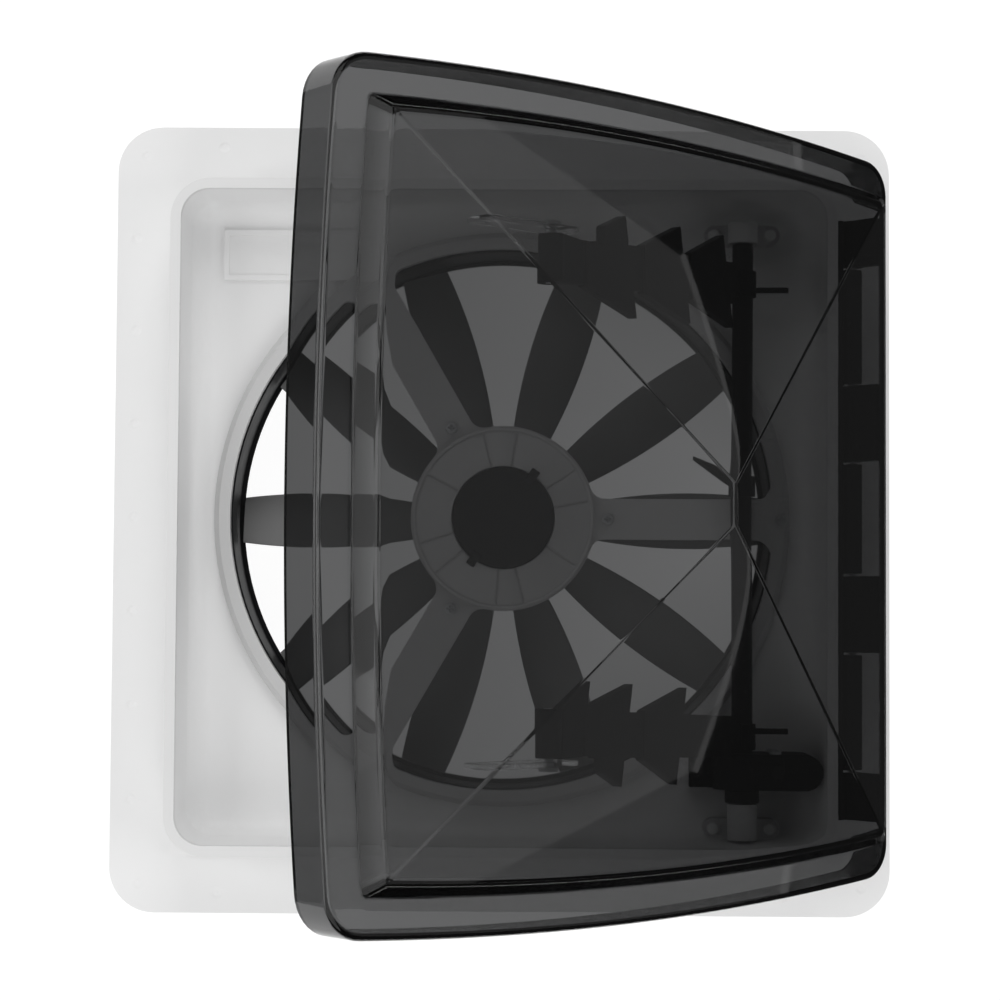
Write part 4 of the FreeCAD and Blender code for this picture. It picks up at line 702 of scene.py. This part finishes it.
@dataclass
class MotorCover:
    """Conical ring round the motor: bowed segments that meet in grooved seams, and a rolled rim."""

    seams_degrees: tuple[float, ...] = (11.6, 33.7, 80.5, 102.9, 150.0, 197.3, 219.5, 265.7, 284.4, 327.0)
    rim: float = 2.0
    rim_height: float = 4.0
    bow: float = 0.9
    groove: float = 1.0
    groove_half: float = 0.65
    foot_fade: float = 0.1
    cone_rows: int = 22
    rim_rows: int = 9
    around: int = 1080

    def segment_drop(self, angle: Array, radius: Array) -> Array:
        """How far the skin lies below the plain cone.

        Drop = bow (1 - 4 s (1 - s)) + groove exp(-(d / half)^2), where s runs over a segment from 0 to 1
        and d is the distance from the nearest seam.
        """
        seams = np.sort(np.radians(self.seams_degrees))
        following = np.searchsorted(seams, angle) % len(seams)
        start = seams[following - 1]
        span = (seams[following] - start) % (2 * np.pi)
        share = ((angle - start) % (2 * np.pi)) / span
        distance = np.minimum(share, 1 - share) * span * radius
        groove = self.groove * np.exp(-(distance / self.groove_half) ** 2)
        return self.bow * (1 - 4 * share * (1 - share)) + groove

    def build(self) -> bpy.types.Object:
        """Turns the section about the fan's axis and lowers the cone by its segments and seams."""
        solid = node_points("motor_cover")
        reach = np.hypot(solid[:, 0], solid[:, 1])
        inner, outer = reach.min(), reach.max()
        low, top = solid[:, 2].min(), solid[:, 2].max()
        foot, rim_top = outer - self.rim, low + self.rim_height
        angle = np.linspace(0, 2 * np.pi, self.around, endpoint=False)[None, :]
        radius = np.linspace(inner, foot, self.cone_rows)[:, None]
        share = (radius - inner) / (foot - inner)
        cone = top + (rim_top - self.rim / 2 - top) * share
        level = cone - self.segment_drop(angle, radius) * np.clip((1 - share) / self.foot_fade, 0, 1)
        roll = np.radians(np.linspace(180, 0, self.rim_rows))[:, None]
        rim_radius = outer - self.rim / 2 + self.rim / 2 * np.cos(roll)
        rim_level = rim_top - self.rim / 2 + self.rim / 2 * np.sin(roll)
        radius = np.concatenate([[[inner]], radius, rim_radius, [[outer]]])
        flat = np.full((1, self.around), low)
        level = np.concatenate([flat, level, np.repeat(rim_level, self.around, axis=1), flat])
        points = np.stack([radius * np.cos(angle), radius * np.sin(angle), level], axis=2)
        faces = grid_faces(points.shape[0], self.around, wrap_rows=True)
        piece = mesh_piece("motor_cover_seamed", points.reshape(-1, 3), faces, GREY, sharp_degrees=40.0)
        return settle(piece, GREY, "motor_cover")


@dataclass
class LidShell:
    """Smoked lid: a skirt, a flat border, a step and a low four-sided rise, with an even wall.

    Lengths run from the hinge axis: along to the free edge, across along the hinge, and up from the lid's
    plane.
    """

    hinge_x: float = 189.0
    hinge_z: float = 33.5
    open_degrees: float = 44.0
    near: float = -5.0
    far: float = 380.5
    half: float = 190.1
    bow_side: float = 8.9
    bow_free: float = 9.3
    corner_free: float = 22.0
    corner_hinge: float = 18.0
    skirt: float = 22.0
    lip: float = 3.2
    wall: float = 2.8
    edge_round: float = 3.0
    root_round: float = 1.2
    shoulder_round: float = 2.0
    inner_shoulder_round: float = 1.0
    inner_ease: float = 0.6
    least_lip: float = 0.7
    hinge_margin: float = 1.0
    border: float = 17.5
    border_hinge: float = 4.6
    step: float = 10.0
    lean: float = 4.5
    lean_hinge: float = 10.8
    panel_bow_side: float = 7.5
    panel_bow_free: float = 7.0
    panel_corner: float = 4.0
    rise: float = 41.0
    ridge: float = 20.0
    ridge_flat: float = 1.0
    ridge_shift: float = 2.8
    crease: float = 0.6
    corner_share: float = 0.3
    corner_points: int = 9
    side_points: int = 40

    def arc(self, centre: Array, radius: float, first: Array, last: Array, count: int) -> Array:
        """Points on an arc from one point towards another, without the last."""
        start = math.atan2(*(first - centre)[::-1])
        sweep = math.atan2(*(last - centre)[::-1]) - start
        sweep = (sweep + math.pi) % (2 * math.pi) - math.pi
        angle = start + sweep * np.linspace(0, 1, count, endpoint=False)
        return centre + radius * np.stack([np.cos(angle), np.sin(angle)], axis=1)

    def outline(self, near: float, far: float, half: float, bow_side: float, bow_free: float,
                round_free: float, round_hinge: float) -> Array:
        """Closed outline, straight at the hinge and bowed on three sides, with corners rolled by a circle.

        The side is an arc of radius (chord squared / 4 + bow squared) / (2 bow); a corner's circle touches
        both of its neighbours from inside.

        Args:
            near: distance of the hinge side.
            far: distance of the free side's ends.
            half: half of the width at the corners.
            bow_side: how far the sides bow out.
            bow_free: how far the free side bows out.
            round_free: corner radius at the free side.
            round_hinge: corner radius at the hinge.

        Returns:
            Points, along and across.
        """
        middle = (near + far) / 2
        side_radius = ((far - near) ** 2 / 4 + bow_side ** 2) / (2 * bow_side)
        free_radius = (half ** 2 + bow_free ** 2) / (2 * bow_free)
        side_centre = np.array([middle, half + bow_side - side_radius])
        free_centre = np.array([far + bow_free - free_radius, 0.0])
        gap = free_centre - side_centre
        span = np.linalg.norm(gap)
        reach = side_radius - round_free
        along = (span ** 2 + reach ** 2 - (free_radius - round_free) ** 2) / (2 * span)
        offset = math.sqrt(max(reach ** 2 - along ** 2, 0.0))
        foot = side_centre + gap / span * along
        normal = np.array([-gap[1], gap[0]]) / span
        picks = [foot + normal * offset, foot - normal * offset]
        free_corner = min(picks, key=lambda p: np.hypot(p[0] - far, p[1] - half))
        hinge_u = near + round_hinge
        hinge_corner = np.array([hinge_u, side_centre[1] + math.sqrt(
            (side_radius - round_hinge) ** 2 - (hinge_u - middle) ** 2)])

        def touch(corner: Array, centre: Array, radius: float) -> Array:
            """Where a corner's circle meets a larger circle."""
            way = corner - centre
            return centre + way / np.linalg.norm(way) * radius

        line_end = np.array([near, hinge_corner[1]])
        side_start = touch(hinge_corner, side_centre, side_radius)
        side_end = touch(free_corner, side_centre, side_radius)
        free_start = touch(free_corner, free_centre, free_radius)
        flip = np.array([1.0, -1.0])
        share = np.linspace(0, 1, self.side_points, endpoint=False)[:, None]
        line = line_end * flip + (line_end - line_end * flip) * share
        upper = np.concatenate([
            self.arc(hinge_corner, round_hinge, line_end, side_start, self.corner_points),
            self.arc(side_centre, side_radius, side_start, side_end, self.side_points),
            self.arc(free_corner, round_free, side_end, free_start, self.corner_points),
        ])
        free = self.arc(free_centre, free_radius, free_start, free_start * flip, self.side_points)
        lower = np.concatenate([upper, free[:1]])[::-1] * flip
        return np.concatenate([line, upper, free, lower[:-1]])

    def rim_outline(self, inset: float) -> Array:
        """Outline of skirt and border, drawn in by an inset."""
        return self.outline(self.near + inset, self.far - inset, self.half - inset, self.bow_side,
                            self.bow_free, self.corner_free - inset, self.corner_hinge - inset)

    def panel_outline(self, inset: float, leaned: bool = False, shrink: float = 0.0) -> Array:
        """Outline of the raised panel.

        Args:
            inset: how far it is drawn in.
            leaned: whether it is above the leaning step.
            shrink: share by which it has closed in on its ridge.

        Returns:
            Points, along and across.
        """
        near = self.near + self.border_hinge + inset
        far = self.far - self.border - inset
        half = self.half - self.border - inset
        peak = (near + far) / 2 - self.ridge_shift
        if leaned:
            near, far, half = near + self.lean_hinge, far - self.lean, half - self.lean
        keep = 1 - shrink
        near = near * keep + (peak - self.ridge_flat / 2) * shrink
        far = far * keep + (peak + self.ridge_flat / 2) * shrink
        half = half * keep + self.ridge / 2 * shrink
        corner = min(self.crease if shrink > 0 else self.panel_corner, self.corner_share * (far - near))
        return self.outline(near, far, half, self.panel_bow_side * keep, self.panel_bow_free * keep,
                            corner, corner)

    def skirt_foot(self, outline: Array) -> Array:
        """Level of the skirt's lower edge: full depth on three sides, a short lip along the hinge."""
        wide = self.half - self.corner_hinge
        hinge_side = self.near + self.wall + self.hinge_margin
        at_hinge = (outline[:, 0] < hinge_side) & (np.abs(outline[:, 1]) < wide)
        return np.where(at_hinge, self.skirt - self.lip, 0.0)

    @staticmethod
    def lay(outline: Array, level: Union[float, Array]) -> Array:
        """An outline at a level."""
        return np.column_stack([outline, np.broadcast_to(level, len(outline))])

    def outer_rings(self, shares: Array, peak: Array) -> list[Array]:
        """Rings from the skirt's outer foot over the border and the step up to the ridge.

        Args:
            shares: how far up the rise each of its rings lies, from 0 to 1.
            peak: the ridge's middle, along and across.

        Returns:
            Rings of (along, across, up).
        """
        top = self.skirt + self.step
        outside = self.rim_outline(0.0)
        made = [self.lay(outside, self.skirt_foot(outside))]
        for angle in QUARTER_TURN:
            made.append(self.lay(self.rim_outline(self.edge_round * (1 - math.cos(angle))),
                                 self.skirt - self.edge_round * (1 - math.sin(angle))))
        for angle in QUARTER_TURN:
            made.append(self.lay(self.panel_outline(-self.root_round * (1 - math.sin(angle))),
                                 self.skirt + self.root_round * (1 - math.cos(angle))))
        for angle in QUARTER_TURN:
            made.append(self.lay(self.panel_outline(self.shoulder_round * (1 - math.cos(angle)), True),
                                 top - self.shoulder_round * (1 - math.sin(angle))))
        for share in shares:
            made.append(self.lay(self.panel_outline(0.0, True, share), top + self.rise * share))
        made.append(self.lay(np.tile(peak, (len(outside), 1)), top + self.rise))
        return made

    def inner_rings(self, shares: Array, peak: Array) -> list[Array]:
        """Rings back along the inside, from the ridge down to the skirt's inner foot.

        Args:
            shares: how far up the rise each of its rings lies, from 0 to 1.
            peak: the ridge's middle, along and across.

        Returns:
            Rings of (along, across, up).
        """
        ceiling = self.skirt + self.step - self.wall
        border = self.skirt - self.wall
        under = self.rim_outline(self.wall)
        made = [self.lay(np.tile(peak, (len(under), 1)), ceiling + self.rise)]
        for share in shares[::-1]:
            made.append(self.lay(self.panel_outline(self.wall, True, share), ceiling + self.rise * share))
        for angle in QUARTER_TURN[::-1]:
            inset = self.wall + self.inner_shoulder_round * (1 - math.cos(angle))
            made.append(self.lay(self.panel_outline(inset, True),
                                 ceiling - self.inner_shoulder_round * (1 - math.sin(angle))))
        made.append(self.lay(self.panel_outline(self.wall), border))
        made.append(self.lay(self.rim_outline(self.wall + self.inner_ease), border))
        made.append(self.lay(under, border - self.inner_ease))
        made.append(self.lay(under, np.minimum(self.skirt_foot(under), border - self.least_lip)))
        return made

    def rings(self) -> list[Array]:
        """All rings, from the skirt's outer foot over the ridge to its inner foot."""
        # Rings lie closer together at the foot of the rise and near the ridge.
        shares = np.concatenate([[0.012, 0.03], np.linspace(0.08, 0.92, 12), [0.97, 0.99, 0.998]])
        middle = (self.near + self.border_hinge + self.far - self.border) / 2
        peak = np.array([middle - self.ridge_shift, 0.0])
        return self.outer_rings(shares, peak) + self.inner_rings(shares, peak)

    def build(self) -> bpy.types.Object:
        """Joins the rings and turns the lid to its open pose. The lamps shine through it."""
        rings = np.stack(self.rings())
        turn = math.radians(self.open_degrees)
        along, across, up = np.moveaxis(rings, 2, 0)
        points = np.stack([self.hinge_x - along * math.cos(turn) + up * math.sin(turn), across,
                           self.hinge_z + along * math.sin(turn) + up * math.cos(turn)], axis=2)
        faces = grid_faces(points.shape[0], points.shape[1], wrap_rows=True)
        piece = mesh_piece("lid_smoked", points.reshape(-1, 3), faces, SMOKE, sharp_degrees=50.0)
        even_normals(piece)
        piece.visible_shadow = False
        return settle(piece, SMOKE, "lid_shell")


@dataclass(frozen=True)
class Lamp:
    """A square soft lamp, with its lengths in metres and its power in watts.

    A mirrored lamp is one that shiny faces show.
    """

    name: str
    place: Triple
    side: float
    power: float
    mirrored: bool = False

    def build(self) -> None:
        """Hangs the lamp so that it faces the object's middle."""
        data = bpy.data.lights.new(self.name, "AREA")
        data.shape = "SQUARE"
        data.size = self.side
        data.energy = self.power
        lamp = bpy.data.objects.new(self.name, data)
        lamp.location = self.place
        lamp.rotation_euler = Vector(self.place).to_track_quat("Z", "Y").to_euler()
        lamp.visible_glossy = self.mirrored
        bpy.context.scene.collection.objects.link(lamp)


LAMPS = (
    Lamp("key", (-0.10, -0.15, 2.2), 1.6, 2.7, mirrored=True),
    Lamp("hinge_lamp", (1.5, -0.3, 0.9), 1.0, 8.5),
    Lamp("free_lamp", (-1.5, 0.0, 0.9), 1.0, 9.3),
    Lamp("upper_lamp", (0.0, 1.5, 0.9), 1.0, 11.2),
    Lamp("lower_lamp", (0.0, -1.5, 0.9), 1.0, 9.0),
)


@dataclass
class Studio:
    """White floor, soft light, cards that shape the lid's reflections, and the camera.

    The cards are seen by shiny faces alone: a grey one low beyond the hinge, whose sides lean outwards, a
    bright strip along its foot, and dark ones behind it, under it and on the other three sides. Lengths are
    in metres, except the camera's.
    """

    camera_mm: Triple = (7.06, -48.75, 1315.8)
    turn_degrees: Triple = (-2.59, -0.34, -0.35)
    lens_mm: float = 85.19
    sensor_mm: float = 36.0
    view_end: float = 50.0
    sky: float = 0.40
    # Share of the white background that glass lets show; the rest is painted shade.
    seen_through: float = 0.55
    floor_gap: float = 0.0005
    floor_half: float = 6.0
    floor_lit: float = 0.8
    floor_seen: float = 0.14
    floor_glow: float = 0.95
    card_x: float = 1.5
    card_foot: tuple[tuple[float, float], ...] = ((-0.69, 0.005), (0.82, -0.02))
    card_top: tuple[tuple[float, float], ...] = ((2.75, 1.55), (-2.10, 1.55))
    card_strip: float = 0.009
    card_grey: float = 0.33
    card_dark: float = 0.06
    back_gap: float = 0.05
    back_half: float = 5.0
    back_top: float = 3.0
    mat_x: float = 0.24
    mat_lift: float = 0.001
    free_card_x: float = -1.6
    free_card_half: float = 2.5
    free_card_grey: float = 0.12
    side_card_y: float = 1.6
    side_card_top: float = 0.75

    def background_ray(self, graph: Graph) -> Shade:
        """1 for rays that see the background directly or in a mirror, a share through glass as painted shade,
        else 0.
        """
        path = graph.add("ShaderNodeLightPath", None, None, "Is Camera Ray").socket.node
        camera, glossy, through = (
            Shade(graph, path.outputs[name])
            for name in ("Is Camera Ray", "Is Glossy Ray", "Is Transmission Ray"))
        return camera.largest(glossy).largest(through * self.seen_through)

    def make_world(self) -> None:
        """An even sky that lights the object, seen as white, and greyer through glass as painted shade."""
        world = bpy.data.worlds.new("Sky")
        world.use_nodes = True
        world.cycles.sampling_method = "NONE"
        bpy.context.scene.world = world
        graph = Graph(world.node_tree)
        light = graph.add("ShaderNodeBackground", None, {"Color": (1, 1, 1, 1), "Strength": self.sky})
        white = graph.add("ShaderNodeBackground", None, {"Color": (1, 1, 1, 1), "Strength": 1.0})
        seen = graph.add("ShaderNodeMixShader", None, {0: self.background_ray(graph), 1: light, 2: white})
        graph.add("ShaderNodeOutputWorld", None, {"Surface": seen})

    def make_floor(self, level: float) -> None:
        """A white floor that keeps a faint shadow, and greyer through glass as painted shade.

        Args:
            level: its height in metres.
        """
        half = self.floor_half
        corners = [(-half, -half, level), (half, -half, level), (half, half, level), (-half, half, level)]
        mesh = bpy.data.meshes.new("floor")
        mesh.from_pydata(corners, [], [(0, 1, 2, 3)])
        material, graph = blank_material("white_floor")
        lit = graph.add("ShaderNodeBsdfDiffuse", None, {"Color": (*[self.floor_lit] * 3, 1)})
        faint = graph.add("ShaderNodeBsdfDiffuse", None, {"Color": (*[self.floor_seen] * 3, 1)})
        glow = graph.add("ShaderNodeEmission", None, {"Color": (1, 1, 1, 1), "Strength": self.floor_glow})
        white = graph.add("ShaderNodeAddShader", None, {0: faint, 1: glow})
        seen = graph.add("ShaderNodeMixShader", None, {0: self.background_ray(graph), 1: lit, 2: white})
        graph.add("ShaderNodeOutputMaterial", None, {"Surface": seen})
        mesh.materials.append(material)
        floor = bpy.data.objects.new("floor", mesh)
        bpy.context.scene.collection.objects.link(floor)

    @staticmethod
    def make_card(name: str, corners: Sequence[Triple], glow: float) -> None:
        """A flat card that only shiny faces see.

        Args:
            name: its name.
            corners: its corners, in metres.
            glow: how bright it looks in a reflection.
        """
        mesh = bpy.data.meshes.new(name)
        mesh.from_pydata(corners, [], [tuple(range(len(corners)))])
        material, graph = blank_material(name)
        light = graph.add("ShaderNodeEmission", None, {"Color": (1, 1, 1, 1), "Strength": glow})
        graph.add("ShaderNodeOutputMaterial", None, {"Surface": light})
        material.cycles.emission_sampling = "NONE"
        mesh.materials.append(material)
        card = bpy.data.objects.new(name, mesh)
        bpy.context.scene.collection.objects.link(card)
        for ray in ("camera", "diffuse", "transmission", "volume_scatter", "shadow"):
            setattr(card, f"visible_{ray}", False)

    def make_cards(self, level: float) -> None:
        """Places the cards.

        Args:
            level: height of the floor, in metres.
        """
        x, free, side = self.card_x, self.free_card_x, self.side_card_y
        back, wide = x + self.back_gap, self.back_half
        low, top = level + self.mat_lift, self.side_card_top
        foot = [(x, y, z) for y, z in self.card_foot]
        under = [(x, y, z - self.card_strip) for y, z in self.card_foot]
        self.make_card("grey_card", foot + [(x, y, z) for y, z in self.card_top], self.card_grey)
        self.make_card("card_foot", under + foot[::-1], 2 * self.card_grey)
        behind = self.upright((back, -wide), (back, wide), low, self.back_top)
        self.make_card("dark_card", behind, self.card_dark)
        self.make_card("dark_mat", [(self.mat_x, -wide, low), (back, -wide, low), (back, wide, low),
                                    (self.mat_x, wide, low)], self.card_dark)
        half = self.free_card_half
        self.make_card("free_card", self.upright((free, -half), (free, half), low, top), self.free_card_grey)
        for name, y in (("upper_card", side), ("lower_card", -side)):
            self.make_card(name, self.upright((free, y), (x, y), low, top), self.card_dark)

    @staticmethod
    def upright(first: tuple[float, float], last: tuple[float, float], low: float,
                high: float) -> list[Triple]:
        """Corners of an upright card over the line between two places on the floor."""
        return [(*first, low), (*last, low), (*last, high), (*first, high)]

    def make_camera(self) -> None:
        """Camera fitted to the outlines in the photograph."""
        data = bpy.data.cameras.new("camera")
        data.lens = self.lens_mm
        data.sensor_width = self.sensor_mm
        data.clip_end = self.view_end
        camera = bpy.data.objects.new("camera", data)
        tilt, roll, yaw = (math.radians(angle) for angle in self.turn_degrees)
        seen = Matrix.Rotation(yaw, 3, "Z") @ Matrix.Rotation(roll, 3, "Y") @ Matrix.Rotation(tilt, 3, "X")
        place = Matrix.Translation([value * MM for value in self.camera_mm])
        camera.matrix_world = place @ seen.transposed().to_4x4()
        bpy.context.scene.collection.objects.link(camera)
        bpy.context.scene.camera = camera

    def build(self) -> None:
        """Sets up the whole studio."""
        self.make_camera()
        self.make_world()
        level = CAD_BOX[0][2] - self.floor_gap
        self.make_floor(level)
        self.make_cards(level)
        for lamp in LAMPS:
            lamp.build()
        bpy.context.scene.view_settings.view_transform = "Standard"


# Width of each node's eased edges, in millimetres.
EASED = {
    "roof_base": 0.8, "fan_ring": 0.5, "motor_bracket": 0.7, "motor_plate": 0.3,
    "motor_can": 0.6, "motor_cap": 0.5, "motor_bushes": 0.3, "motor_shaft": 0.3,
    "armature": 0.3, "fan_nut": 0.4, "hinge_base": 0.4, "hinge_pin": 0.4, "lid_knuckles": 0.4,
    "lid_rail_upper": 0.4, "lid_rail_lower": 0.4, "lift_arm_upper": 0.5, "lift_arm_lower": 0.5,
    "slide_pin_upper": 0.3, "slide_pin_lower": 0.3, "arm_lock_pins": 0.3, "cross_shaft": 0.4,
    "shaft_collar": 0.5, "worm_wheel": 0.2, "shaft_finger": 0.4, "shaft_bracket_upper": 0.6,
    "shaft_bracket_lower": 0.6, "gear_housing": 0.8, "gear_cover": 0.4, "crank_spindle": 0.3,
    "crank_bush": 0.3, "worm": 0.15, "crank_knob": 0.8,
}

# Edges shorter than this stay sharp, in millimetres: they go round small holes.
SMALL_HOLES = {"roof_base": 2.0, "motor_bracket": 1.2}

SCREWS = {
    "ring_screws": Axis.Z, "motor_screws": Axis.Z, "hinge_screws": Axis.X, "gear_screws": Axis.Y,
}


def main() -> None:
    """Builds the studio and every piece."""
    logging.basicConfig(level=logging.INFO, format="%(message)s")
    Studio().build()
    LidShell().build()
    Impeller().build()
    MotorCover().build()
    for node, axis in SCREWS.items():
        ScrewSet(node, axis).build()
    ScrewSet("bracket_screws", Axis.Z, recess_depth=0.0).build()
    ScrewSet("knob_screw", Axis.Z, -1).build()
    SoftEdged("well_tray", width_mm=2.4, segments=4, shortest_mm=2.0,
              broad_above_mm=RIM_LEVEL - RIM_ROUND_DEPTH, narrow_share=0.33).build()
    for node, width in EASED.items():
        SoftEdged(node, width, shortest_mm=SMALL_HOLES.get(node, 0.0)).build()


if __name__ == "__main__":
    main()
